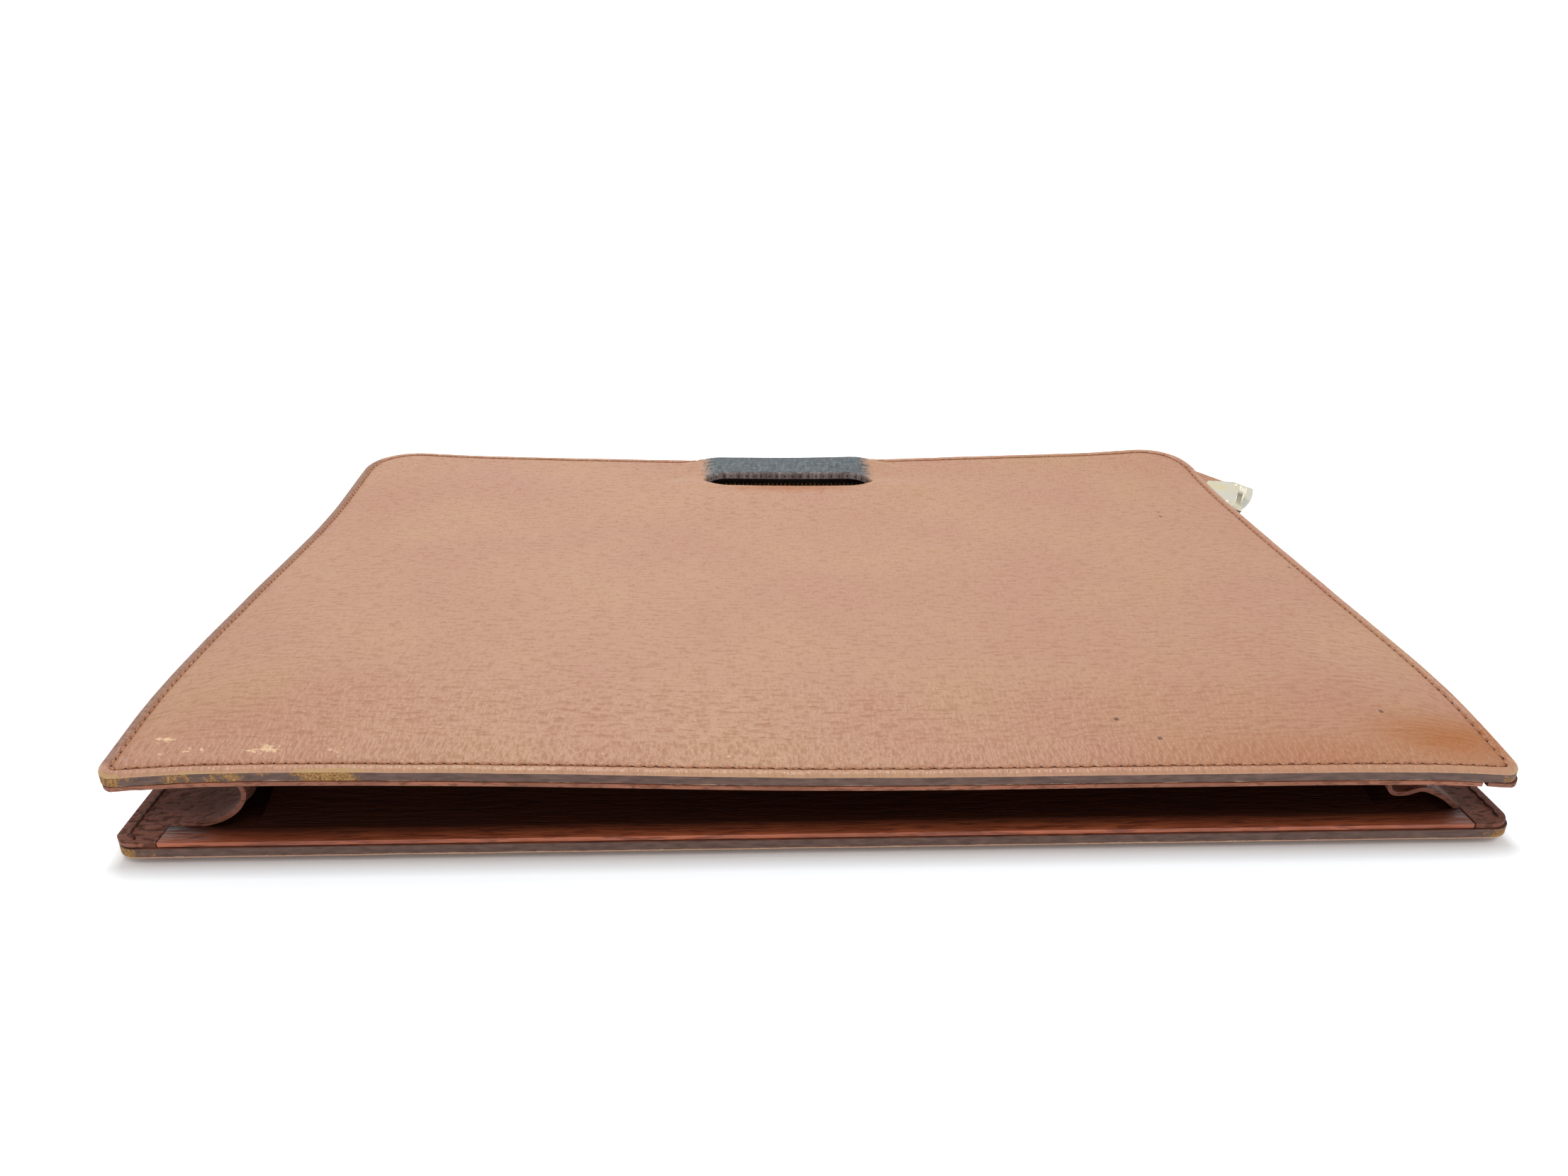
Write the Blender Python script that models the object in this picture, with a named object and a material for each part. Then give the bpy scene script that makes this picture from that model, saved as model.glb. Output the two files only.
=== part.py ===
"""Leather business bag: a zip-top document case with a hand slot, lying on its back.

The bag's width runs along X, its bottom edge is at -Y, its zipped top edge is at +Y and Z is up.
The origin is on the underside of the back panel, at the middle of the two panels.
All sizes are in metres and angles in degrees.
"""
import math

import bmesh
import bpy
from mathutils import Matrix, Vector

# Panels of laminated leather
WIDTH = 0.420
HEIGHT = 0.298
PANEL = 0.0038
EDGE_ROUND = 0.0006
BOTTOM_CORNER_RADIUS = 0.0065
TOP_CORNER_RADIUS = 0.026
CORNER_STEPS = 6
COLUMNS = 18
ROWS = 12

# How the bag lies
RIM_HEIGHT = 0.029
RIM_LIFT = 0.0025
LIFT_RUN = 0.032
CROWN = 0.0030
CROWN_RUN = 0.050
GAP = 0.0004
FRONT_SHIFT = (-0.0012, 0.0012)

# Hand slot and the padded grip beside it
SLOT_LENGTH = 0.084
SLOT_WIDTH = 0.026
GRIP_BAR = 0.021
GRIP_LENGTH = 0.090
GRIP_FADE = 0.012
GRIP_EDGE = 0.0045
GRIP_SWELL = 0.0030
GRIP_SWELL_BACK = 0.0012

# Gussets folded inwards between the panels
GUSSET = 0.0014
FLANGE = 0.0090
CORNER_TAB = 0.0127
SIDE_DEPTH = 0.0370
SIDE_DEPTH_TOP = 0.0240
BOTTOM_DEPTH = 0.0400
LEFT_TOP_GAP = 0.0270
RIGHT_TOP_GAP = 0.0390
NEAR_FOLD = 0.62

# Zip along the top edge
TAPE = 0.0010
ZIP_DEPTH = 0.0080
TEETH_WIDTH = 0.0054
TEETH_THICK = 0.0024
ZIP_LEFT_TURN = 85
ZIP_RIGHT_TURN = 33
SLIDER_LENGTH = 0.0110
SLIDER_WIDTH = 0.0092
SLIDER_PLATE = 0.0011
SLIDER_FROM_END = 0.0160
SLIDER_POST = 0.0030
PULL_LENGTH = 0.0240
PULL_WIDTH = 0.0070
PULL_THICK = 0.0012

# Leather tab at the zip's end, with its lock plate, staple and rivets
TAB_LENGTH = 0.0475
TAB_WIDTH = 0.0236
TAB_THICK = 0.0028
TAB_BELOW_FRONT = 0.0016
TAB_DROOP = 10
TAB_ROLL = 7
PLATE_THICK = 0.0010
PLATE_LENGTH = 0.0230
PLATE_WIDTH = 0.0240
PLATE_SHOULDER = 0.0110
PLATE_NOSE = 0.0080
PLATE_BULGE = 0.0016
RIVET_RADIUS = 0.0011
RIVET_HEAD = 0.0006
RIVET_INSET = 0.0027
RIVET_FROM_END = 0.0093
STAPLE_SPAN = 0.0072
STAPLE_HEIGHT = 0.0070
STAPLE_STRAP = 0.0030
STAPLE_THICK = 0.0013
STAPLE_FROM_END = 0.0048
STAPLE_SIDE = 0.0025

# Height of the front panel's rim: share of the edge, share of RIM_HEIGHT
RIM_NEAR = ((0.0, 1.04), (0.08, 1.10), (0.25, 1.07), (0.5, 0.96), (0.75, 0.95), (0.92, 0.94), (1.0, 0.88))
RIM_FAR = ((0.0, 1.05), (0.1, 0.96), (0.25, 0.90), (0.5, 0.85), (0.75, 0.95), (0.9, 1.03), (1.0, 1.15))
RIM_LEFT = ((0.0, 1.04), (0.15, 1.15), (0.4, 1.07), (0.7, 0.92), (0.9, 1.00), (1.0, 1.05))
RIM_RIGHT = ((0.0, 0.88), (0.15, 1.02), (0.4, 0.98), (0.7, 0.92), (0.9, 0.95), (1.0, 1.15))

# Folded gussets seen end on, from the back panel to the front: share of depth, share of the gap
FOLD_LEFT = (
    (0.0, 0.0), (0.2, 0.0), (0.36, 0.0), (0.60, 0.05), (0.78, 0.14), (0.93, 0.33), (1.0, 0.56),
    (0.95, 0.78), (0.80, 0.90), (0.58, 0.96), (0.36, 1.0), (0.2, 1.0), (0.0, 1.0),
)
FOLD_RIGHT = (
    (0.0, 0.0), (0.2, 0.0), (0.36, 0.03), (0.50, 0.28), (0.68, 0.47), (0.82, 0.40), (0.95, 0.42),
    (1.0, 0.62), (0.92, 0.80), (0.66, 0.92), (0.36, 1.0), (0.2, 1.0), (0.0, 1.0),
)
FOLD_PLAIN = (
    (0.0, 0.0), (0.2, 0.0), (0.36, 0.04), (0.60, 0.18), (0.80, 0.31), (0.94, 0.41), (1.0, 0.5),
    (0.94, 0.59), (0.80, 0.69), (0.60, 0.82), (0.36, 0.96), (0.2, 1.0), (0.0, 1.0),
)
# Zip tape seen end on: share of ZIP_DEPTH, share of the way from its panel to the teeth
TAPE_BEND = ((0.12, 0.0), (0.5, 0.0), (0.84, 0.04), (1.0, 0.22), (1.0, 0.6), (1.0, 1.0))

# Colours in linear light: name, colour, roughness, metallic
FINISHES = {
    "tan_boarded_calf": ((0.38, 0.155, 0.085), 0.45, 0.0),
    "dark_gusset_calf": ((0.105, 0.038, 0.026), 0.40, 0.0),
    "black_zip_tape": ((0.020, 0.017, 0.016), 0.85, 0.0),
    "brass_zip": ((0.62, 0.45, 0.20), 0.35, 1.0),
    "nickel_lock": ((0.72, 0.68, 0.56), 0.25, 1.0),
}


def ease(value):
    """A share from 0 to 1 that starts and ends gently."""
    value = min(max(value, 0.0), 1.0)
    return value * value * (3 - 2 * value)


def curve_through(rows, at):
    """The last columns of a table at a share of its first, on a smooth curve through its rows."""
    last = len(rows) - 2
    index = next((i for i in range(last) if at < rows[i + 1][0]), last)
    before, start = rows[max(index - 1, 0)], rows[index]
    end, after = rows[index + 1], rows[min(index + 2, last + 1)]
    step = end[0] - start[0]
    share = (at - start[0]) / step
    slope_start = (end[1] - before[1]) / (end[0] - before[0]) * step
    slope_end = (after[1] - start[1]) / (after[0] - start[0]) * step
    square, cube = share ** 2, share ** 3
    return (
        (2 * cube - 3 * square + 1) * start[1] + (cube - 2 * square + share) * slope_start
        + (3 * square - 2 * cube) * end[1] + (cube - square) * slope_end
    )


def section_point(rows, share):
    """A point of a section's table, at a share of its rows."""
    places = [index / (len(rows) - 1) for index in range(len(rows))]
    columns = zip(*rows)
    return [curve_through(list(zip(places, column)), share) for column in columns]


def inside(x, y, run):
    """0 along the panels' edges and 1 where the point lies a run or more inside them."""
    return ease((WIDTH / 2 - abs(x)) / run) * ease((HEIGHT / 2 - abs(y)) / run)


def back_underside(x, y):
    """Height of the back panel's outer face: flat on the floor, lifted along its rim."""
    return RIM_LIFT * (1 - inside(x, y, LIFT_RUN))


def front_underside(x, y):
    """Height of the front panel's inner face: a patch between its four rim curves, with a crown."""
    u, v = (min(max(share + 0.5, 0.0), 1.0) for share in (x / WIDTH, y / HEIGHT))
    between = (1 - v) * curve_through(RIM_NEAR, u) + v * curve_through(RIM_FAR, u)
    between += (1 - u) * curve_through(RIM_LEFT, v) + u * curve_through(RIM_RIGHT, v)
    near_corners = (1 - u) * RIM_NEAR[0][1] + u * RIM_NEAR[-1][1]
    far_corners = (1 - u) * RIM_FAR[0][1] + u * RIM_FAR[-1][1]
    between -= (1 - v) * near_corners + v * far_corners
    return RIM_HEIGHT * between - PANEL + CROWN * inside(x, y, CROWN_RUN)


def between_panels(x, y, thickness):
    """Lowest and highest middle heights of a layer that lies between the panels."""
    room = GAP + thickness / 2
    return back_underside(x, y) + PANEL + room, front_underside(x, y) - room


def grip_share(x, y):
    """1 on the padded bar, fading out at its ends and the top edge, with half its swell at the slot."""
    along = ease((GRIP_LENGTH / 2 + GRIP_FADE / 2 - abs(x)) / GRIP_FADE)
    from_edge = HEIGHT / 2 - y
    to_edge = ease((from_edge - FLANGE / 4) / GRIP_EDGE)
    to_slot = ease(0.5 + (GRIP_BAR - from_edge) / (2 * GRIP_EDGE))
    return along * min(to_edge, to_slot)


def outline(inset=0.0):
    """The panels' outline, anticlockwise from the bottom right corner."""
    points = []
    for corner, (side, end, radius) in enumerate((
        (1, -1, BOTTOM_CORNER_RADIUS), (1, 1, TOP_CORNER_RADIUS),
        (-1, 1, TOP_CORNER_RADIUS), (-1, -1, BOTTOM_CORNER_RADIUS),
    )):
        centre = Vector((side * (WIDTH / 2 - radius), end * (HEIGHT / 2 - radius)))
        for step in range(CORNER_STEPS + 1):
            angle = math.radians(90) * (corner - 1 + step / CORNER_STEPS)
            points.append(centre + (radius - inset) * Vector((math.cos(angle), math.sin(angle))))
    return points


def slot_outline():
    """The hand slot: straight sides and round ends."""
    radius = SLOT_WIDTH / 2
    middle = HEIGHT / 2 - GRIP_BAR - radius
    points = []
    for side in (1, -1):
        for step in range(CORNER_STEPS * 2 + 1):
            angle = math.radians(180 * step / (CORNER_STEPS * 2) - 90 * side)
            reach = side * (SLOT_LENGTH / 2 - radius) + radius * math.cos(angle)
            points.append(Vector((reach, middle + radius * math.sin(angle))))
    return points


def finish(name):
    """The named Principled material, made once."""
    material = bpy.data.materials.get(name)
    if material is None:
        colour, roughness, metallic = FINISHES[name]
        material = bpy.data.materials.new(name)
        material.use_nodes = True
        shader = material.node_tree.nodes["Principled BSDF"]
        shader.inputs["Base Color"].default_value = (*colour, 1)
        shader.inputs["Roughness"].default_value = roughness
        shader.inputs["Metallic"].default_value = metallic
        material.diffuse_color = (*colour, 1)
    return material


def add_object(name, bm, material=None):
    """An object made of the bmesh. Without a material it is a cutter or a guide."""
    mesh = bpy.data.meshes.new(name)
    bm.to_mesh(mesh)
    bm.free()
    item = bpy.data.objects.new(name, mesh)
    bpy.context.collection.objects.link(item)
    if material:
        mesh.materials.append(finish(material))
        mesh.shade_smooth()
        mesh.set_sharp_from_angle(angle=math.radians(35))
    else:
        item.hide_render = True
        item.display_type = "WIRE"
    return item


def extruded(points, low, high):
    """A bmesh of a flat outline, as a closed block between two heights."""
    bm = bmesh.new()
    face = bm.faces.new([bm.verts.new((point[0], point[1], low)) for point in points])
    risen = bmesh.ops.extrude_face_region(bm, geom=[face])["geom"]
    top = [vert for vert in risen if isinstance(vert, bmesh.types.BMVert)]
    bmesh.ops.translate(bm, verts=top, vec=(0, 0, high - low))
    bmesh.ops.recalc_face_normals(bm, faces=bm.faces)
    return bm


def add_box(name, low, high, material=None):
    """A closed box between two corners."""
    corners = ((low[0], low[1]), (high[0], low[1]), (high[0], high[1]), (low[0], high[1]))
    return add_object(name, extruded(corners, low[2], high[2]), material)


def combine(item, other, operation):
    """A Boolean modifier that cuts, keeps or joins another object."""
    modifier = item.modifiers.new(f"{operation.lower()}_{other.name}", "BOOLEAN")
    modifier.operation = operation
    modifier.object = other


def bevel_edges(bm, edges, width, segments):
    """Rounds the edges of a bmesh."""
    bmesh.ops.bevel(
        bm, geom=edges, offset=width, offset_type="OFFSET", segments=segments, profile=0.5,
        affect="EDGES", material=-1,
    )


def add_panel(name, underside, swell, swell_low, slot):
    """A laminated leather panel: its outline, cut into cells and laid over a height function."""
    bm = extruded(outline(), 0.0, PANEL)
    rim = [edge for edge in bm.edges if abs(edge.verts[0].co.z - edge.verts[1].co.z) < PANEL / 2]
    bevel_edges(bm, rim, EDGE_ROUND, 1)
    grip_low = HEIGHT / 2 - GRIP_BAR
    columns = [WIDTH * (index / COLUMNS - 0.5) for index in range(1, COLUMNS)]
    columns += [side * (WIDTH / 2 - FLANGE) for side in (-1, 1)]
    columns += [side * (GRIP_LENGTH + reach * GRIP_FADE) / 2 for side in (-1, 1) for reach in (-1, 1)]
    below_slot = HEIGHT - GRIP_BAR - SLOT_WIDTH
    rows = [FLANGE - HEIGHT / 2]
    rows += [below_slot * index / ROWS - HEIGHT / 2 for index in range(1, ROWS + 1)]
    rows += [grip_low + GRIP_BAR * share for share in (0.0, 0.2, 0.4, 0.7, 0.88)]
    for axis, places in ((0, columns), (1, rows)):
        for place in places:
            point, normal = Vector(), Vector()
            point[axis], normal[axis] = place, 1
            geometry = bm.verts[:] + bm.edges[:] + bm.faces[:]
            bmesh.ops.bisect_plane(bm, geom=geometry, dist=0.00002, plane_co=point, plane_no=normal)
    bmesh.ops.triangulate(bm, faces=bm.faces)
    for vert in bm.verts:
        x, y, z = vert.co
        padded = grip_share(x, y) * (swell if z > PANEL / 2 else -swell_low)
        vert.co.z = z + underside(x, y) + padded
    panel = add_object(name, bm, "tan_boarded_calf")
    combine(panel, slot, "DIFFERENCE")
    return panel


def add_sheet(name, along, across, place, thickness, material):
    """A bent strip: a grid whose shares along and across are placed by a function, made thick."""
    bm = bmesh.new()
    bmesh.ops.create_grid(bm, x_segments=along, y_segments=across, size=0.5)
    for vert in bm.verts:
        vert.co = place(vert.co.x + 0.5, vert.co.y + 0.5)
    sheet = add_object(name, bm, material)
    modifier = sheet.modifiers.new("thickness", "SOLIDIFY")
    modifier.thickness = thickness
    modifier.offset = 0
    modifier.use_even_offset = True
    return sheet


def add_side_gusset(name, side, fold, top_gap, guide):
    """A gusset folded in along one side, whose flanges cover the bottom corners as tabs."""
    start, end = -HEIGHT / 2, HEIGHT / 2 - top_gap

    def place(along, across):
        near = section_point(fold, across)
        plain = section_point(FOLD_PLAIN, across)
        blend = ease(along / NEAR_FOLD)
        deep, high = [(1 - blend) * first + blend * second for first, second in zip(near, plain)]
        depth = SIDE_DEPTH + (SIDE_DEPTH_TOP - SIDE_DEPTH) * ease(along)
        x = side * (WIDTH / 2 - deep * depth)
        y = start + (end - start) * along
        low, top = between_panels(x, y, GUSSET)
        return Vector((x, y, low + (top - low) * high))

    gusset = add_sheet(name, 14, 20, place, GUSSET, "dark_gusset_calf")
    inner, outer = WIDTH / 2 - CORNER_TAB, WIDTH / 2 - SIDE_DEPTH - FLANGE
    cut_ends = sorted((side * inner, side * outer))
    cut = add_box(
        f"{name}_corner_cut", (cut_ends[0], -HEIGHT / 2 - FLANGE, -PANEL),
        (cut_ends[1], -HEIGHT / 2 + FLANGE + GAP, 2 * RIM_HEIGHT),
    )
    combine(gusset, cut, "DIFFERENCE")
    combine(gusset, guide, "INTERSECT")
    return gusset


def add_bottom_gusset(guide):
    """The gusset folded in along the bottom edge, with only its flanges beside the side folds."""
    half = WIDTH / 2 - CORNER_TAB - GAP
    fold_half = WIDTH / 2 - SIDE_DEPTH - GUSSET / 2 - 2 * GAP

    def place(along, across):
        deep, high = section_point(FOLD_PLAIN, across)
        x, y = half * (2 * along - 1), -HEIGHT / 2 + deep * BOTTOM_DEPTH
        low, top = between_panels(x, y, GUSSET)
        return Vector((x, y, low + (top - low) * high))

    gusset = add_sheet("bottom_gusset", 24, 20, place, GUSSET, "dark_gusset_calf")
    for side in (-1, 1):
        cut_ends = sorted((side * fold_half, side * WIDTH / 2))
        cut = add_box(
            f"bottom_end_cut_{side + 1}", (cut_ends[0], -HEIGHT / 2 + FLANGE, -PANEL),
            (cut_ends[1], -HEIGHT / 2 + 2 * BOTTOM_DEPTH, 2 * RIM_HEIGHT),
        )
        combine(gusset, cut, "DIFFERENCE")
    combine(gusset, guide, "INTERSECT")
    return gusset


def top_edge(run, depth):
    """A point at a depth inside the top edge, a run to the right of its middle, and the way on."""
    straight = WIDTH / 2 - TOP_CORNER_RADIUS
    side = 1 if run > 0 else -1
    turn = max(abs(run) - straight, 0.0) / TOP_CORNER_RADIUS
    outward = Vector((side * math.sin(turn), math.cos(turn), 0))
    centre = Vector((side * min(abs(run), straight), HEIGHT / 2 - TOP_CORNER_RADIUS, 0))
    way = Vector((math.cos(turn), -side * math.sin(turn), 0))
    return centre + (TOP_CORNER_RADIUS - depth) * outward, way


def zip_ends():
    """Where the zip's tapes start and end along the top edge."""
    straight = WIDTH / 2 - TOP_CORNER_RADIUS
    return (
        -straight - TOP_CORNER_RADIUS * math.radians(ZIP_LEFT_TURN),
        straight + TOP_CORNER_RADIUS * math.radians(ZIP_RIGHT_TURN),
    )


def zip_middle(point):
    """The height halfway between the panels."""
    return sum(between_panels(point.x, point.y, TAPE)) / 2


def add_zip():
    """Two tapes bent from the panels to the row of teeth between them, and the slider."""
    start, end = zip_ends()
    teeth_end = end - SLIDER_FROM_END - SLIDER_LENGTH - GAP

    def tape_place(front):
        def place(along, across):
            deep, high = section_point(TAPE_BEND, across)
            point, _ = top_edge(start + (end - start) * along, deep * ZIP_DEPTH)
            panel_side = between_panels(point.x, point.y, TAPE)[front]
            reach = abs(zip_middle(point) - panel_side) - TEETH_WIDTH / 2 - GAP
            point.z = panel_side + (1 - 2 * front) * high * reach
            return point
        return place

    def teeth_place(along, across):
        point, _ = top_edge(start + GAP + (teeth_end - start - GAP) * along, ZIP_DEPTH)
        point.z = zip_middle(point) + (across - 0.5) * TEETH_WIDTH
        return point

    for front, name in ((0, "zip_tape_back"), (1, "zip_tape_front")):
        add_sheet(name, 30, 7, tape_place(front), TAPE, "black_zip_tape")
    add_sheet("zip_teeth", 30, 1, teeth_place, TEETH_THICK, "brass_zip")
    add_slider(end - SLIDER_FROM_END - SLIDER_LENGTH / 2)


def add_slider(run):
    """The zip's slider, two plates joined by a post, with its pull lying along the teeth."""
    point, way = top_edge(run, ZIP_DEPTH)
    point.z = zip_middle(point)
    room = TEETH_THICK / 2 + GAP
    post = TEETH_WIDTH / 2 - GAP
    half, reach = SLIDER_WIDTH / 2, room + SLIDER_PLATE
    corners = (
        (-reach, -half), (-room, -half), (-room, -post), (room, -post), (room, -half), (reach, -half),
        (reach, half), (room, half), (room, post), (-room, post), (-room, half), (-reach, half),
    )
    bm = extruded(corners, -SLIDER_LENGTH / 2, SLIDER_LENGTH / 2)
    bmesh.ops.rotate(bm, verts=bm.verts, matrix=turned_profile())
    slider = add_object("zip_slider", bm, "brass_zip")
    foot = reach - SLIDER_PLATE / 2
    pull_low = reach + SLIDER_POST / 2
    post_block = add_box(
        "slider_post", (-SLIDER_POST / 2, foot, -SLIDER_POST / 2),
        (SLIDER_POST / 2, pull_low + PULL_THICK / 2, SLIDER_POST / 2),
    )
    pull = add_box(
        "slider_pull", (-PULL_LENGTH, pull_low, -PULL_WIDTH / 2),
        (SLIDER_POST, pull_low + PULL_THICK, PULL_WIDTH / 2),
    )
    for piece in (post_block, pull):
        combine(slider, piece, "UNION")
    for piece in (slider, post_block, pull):
        piece.location = point
        piece.rotation_euler = (0, 0, math.atan2(way.y, way.x))
    return slider


def turned_profile():
    """Turns a profile drawn in X and Y, and extruded up, to run along X with its first axis outwards."""
    from_axes = (Vector((0, 1, 0)), Vector((0, 0, 1)), Vector((1, 0, 0)))
    return Matrix(from_axes).transposed()


def tab_outline(length, width, shoulder, nose):
    """A tab's outline in its own plane: its end bulges a little, its root may narrow to a nose."""
    half = width / 2
    end = [
        (length - PLATE_BULGE * (2 * share / width) ** 2, share)
        for share in (-half, -half * 0.66, -half * 0.33, 0, half * 0.33, half * 0.66, half)
    ]
    root, full = shoulder
    return end + [(full, half), (root, nose / 2), (root, -nose / 2), (full, -half)]


def add_end_tab():
    """The leather tab past the zip's end, with its plate, staple and rivets, on one tilted frame."""
    point, way = top_edge(zip_ends()[1], ZIP_DEPTH)
    frame = bpy.data.objects.new("tab_frame", None)
    bpy.context.collection.objects.link(frame)
    high = front_underside(point.x, point.y) - TAB_BELOW_FRONT
    clear_root = GAP + TAB_THICK * math.sin(math.radians(TAB_DROOP))
    frame.location = point + way * clear_root + Vector((0, 0, high))
    frame.rotation_euler = (math.radians(TAB_ROLL), math.radians(TAB_DROOP), math.atan2(way.y, way.x))
    root_corner = TAB_WIDTH / 8
    points = tab_outline(TAB_LENGTH, TAB_WIDTH, (0.0, root_corner), TAB_WIDTH - 2 * root_corner)
    tab = add_object("zip_end_tab", extruded(points, -TAB_THICK, 0.0), "tan_boarded_calf")
    plate_end = TAB_LENGTH + GAP + PLATE_THICK
    plate_start = plate_end - PLATE_LENGTH
    shoulder = (plate_start, plate_start + PLATE_SHOULDER)
    points = tab_outline(plate_end, PLATE_WIDTH, shoulder, PLATE_NOSE)
    plate = add_object("lock_plate", extruded(points, -TAB_THICK, GAP + PLATE_THICK), "nickel_lock")
    points = tab_outline(TAB_LENGTH + GAP, PLATE_WIDTH * 2, (-GAP, 0.0), PLATE_WIDTH * 2)
    under = add_object("plate_under_cut", extruded(points, -2 * TAB_THICK, GAP))
    combine(plate, under, "DIFFERENCE")
    top = GAP + PLATE_THICK
    pieces = [tab, plate, under, add_staple(plate_end - STAPLE_FROM_END, top)]
    rivet_side = PLATE_WIDTH / 2 - RIVET_INSET
    for index, side in enumerate((1, -1), 1):
        pieces += add_rivet(index, plate_end - RIVET_FROM_END, side * rivet_side, top, (tab, plate))
    for piece in pieces:
        piece.parent = frame


def add_staple(reach, top):
    """A flat strap bent into a standing arch across the plate."""
    base = top + GAP
    outer, inner = STAPLE_SPAN / 2, STAPLE_SPAN / 2 - STAPLE_THICK
    steps = 8
    points = []
    for radius, way in ((outer, 1), (inner, -1)):
        straight = STAPLE_HEIGHT - outer
        arc = [math.pi * step / steps for step in range(steps + 1)][::way]
        sides = [(way * radius, 0.0)]
        curve = [(radius * math.cos(angle), straight + radius * math.sin(angle)) for angle in arc]
        points += sides + curve + [(-way * radius, 0.0)]
    bm = extruded(points, -STAPLE_STRAP / 2, STAPLE_STRAP / 2)
    bmesh.ops.rotate(bm, verts=bm.verts, matrix=turned_profile())
    bmesh.ops.translate(bm, verts=bm.verts, vec=(reach, -STAPLE_SIDE, base))
    return add_object("lock_staple", bm, "nickel_lock")


def add_rivet(index, reach, across, top, holed):
    """A rivet through plate and tab, with a low round head, and the hole cut for it."""
    shapes = []
    for name, radius, low, high in (
        (f"lock_rivet_{index}", RIVET_RADIUS, -TAB_THICK - RIVET_HEAD, top + RIVET_HEAD),
        (f"rivet_hole_{index}", RIVET_RADIUS + GAP, -2 * TAB_THICK, 2 * top),
    ):
        bm = bmesh.new()
        bmesh.ops.create_cone(
            bm, cap_ends=True, segments=12, radius1=radius, radius2=radius, depth=high - low,
        )
        if name.startswith("lock"):
            heads = [face for face in bm.faces if abs(face.normal.z) > 0.9]
            for face in heads:
                bmesh.ops.translate(bm, verts=face.verts, vec=(0, 0, -face.normal.z * RIVET_HEAD))
                risen = bmesh.ops.extrude_discrete_faces(bm, faces=[face])["faces"][0]
                wide = (RIVET_RADIUS + 2 * GAP) / RIVET_RADIUS
                bmesh.ops.translate(bm, verts=risen.verts, vec=(0, 0, risen.normal.z * RIVET_HEAD))
                for vert in risen.verts:
                    vert.co.x *= wide
                    vert.co.y *= wide
        bmesh.ops.translate(bm, verts=bm.verts, vec=(reach, across, (low + high) / 2))
        shapes.append(add_object(name, bm, "nickel_lock" if name.startswith("lock") else None))
    for piece in holed:
        combine(piece, shapes[1], "DIFFERENCE")
    return shapes


def lean(item, depsgraph):
    """Fixes a piece's shape and shears it with height, as the front panel lies a little askew."""
    mesh = bpy.data.meshes.new_from_object(item.evaluated_get(depsgraph))
    mesh.transform(item.matrix_world)
    for vert in mesh.vertices:
        x, y, z = vert.co
        low = back_underside(x, y) + PANEL
        share = min(max((z - low) / (front_underside(x, y) - low), 0.0), 1.0)
        vert.co.x += FRONT_SHIFT[0] * share
        vert.co.y += FRONT_SHIFT[1] * share
    return mesh


def lean_all():
    """Shears every solid between the panels, in place of its modifiers and its tilted frame."""
    bpy.context.view_layer.update()
    depsgraph = bpy.context.evaluated_depsgraph_get()
    solids = [item for item in bpy.data.objects if item.type == "MESH" and not item.hide_render]
    meshes = [lean(item, depsgraph) for item in solids]
    for item, mesh in zip(solids, meshes):
        item.modifiers.clear()
        item.parent = None
        item.matrix_world = Matrix.Identity(4)
        item.data = mesh


def build():
    """Clears the scene and models the bag."""
    for item in list(bpy.data.objects):
        bpy.data.objects.remove(item, do_unlink=True)
    slot = add_object("slot_cut", extruded(slot_outline(), -RIM_HEIGHT, 3 * RIM_HEIGHT))
    guide = add_object("outline_guide", extruded(outline(), -RIM_HEIGHT, 3 * RIM_HEIGHT))
    add_panel("back_panel", back_underside, 0.0, GRIP_SWELL_BACK, slot)
    add_panel("front_panel", front_underside, GRIP_SWELL, 0.0, slot)
    add_bottom_gusset(guide)
    add_side_gusset("side_gusset_left", -1, FOLD_LEFT, LEFT_TOP_GAP, guide)
    add_side_gusset("side_gusset_right", 1, FOLD_RIGHT, RIGHT_TOP_GAP, guide)
    add_zip()
    add_end_tab()
    lean_all()


build()
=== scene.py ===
import math

import bmesh
import bpy
from mathutils import Euler, Matrix, Vector, noise


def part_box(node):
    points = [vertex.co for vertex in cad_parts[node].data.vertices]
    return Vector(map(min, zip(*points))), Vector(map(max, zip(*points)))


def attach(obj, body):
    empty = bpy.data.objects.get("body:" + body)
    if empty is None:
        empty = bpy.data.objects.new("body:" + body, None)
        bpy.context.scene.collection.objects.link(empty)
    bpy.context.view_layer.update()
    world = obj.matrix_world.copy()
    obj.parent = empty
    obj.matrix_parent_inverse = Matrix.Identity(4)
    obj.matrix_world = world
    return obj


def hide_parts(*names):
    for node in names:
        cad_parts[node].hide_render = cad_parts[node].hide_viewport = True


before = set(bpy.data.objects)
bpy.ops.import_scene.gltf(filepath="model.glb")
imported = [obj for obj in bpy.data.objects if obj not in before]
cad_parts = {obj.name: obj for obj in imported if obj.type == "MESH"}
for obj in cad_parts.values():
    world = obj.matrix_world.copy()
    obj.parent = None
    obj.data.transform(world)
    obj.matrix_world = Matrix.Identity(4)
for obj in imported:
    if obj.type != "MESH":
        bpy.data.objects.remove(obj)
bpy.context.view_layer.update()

MM = 0.001

# The photograph's view: width of the picture in pixels, focal length in the same pixels
PHOTO_WIDTH = 2212
FOCAL = 1629
SENSOR = 36.0
CAMERA_AT = (-0.0301, -0.4293, 0.2177)
CAMERA_PITCH, CAMERA_YAW, CAMERA_ROLL = 24.7, 2.9, -0.94

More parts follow.
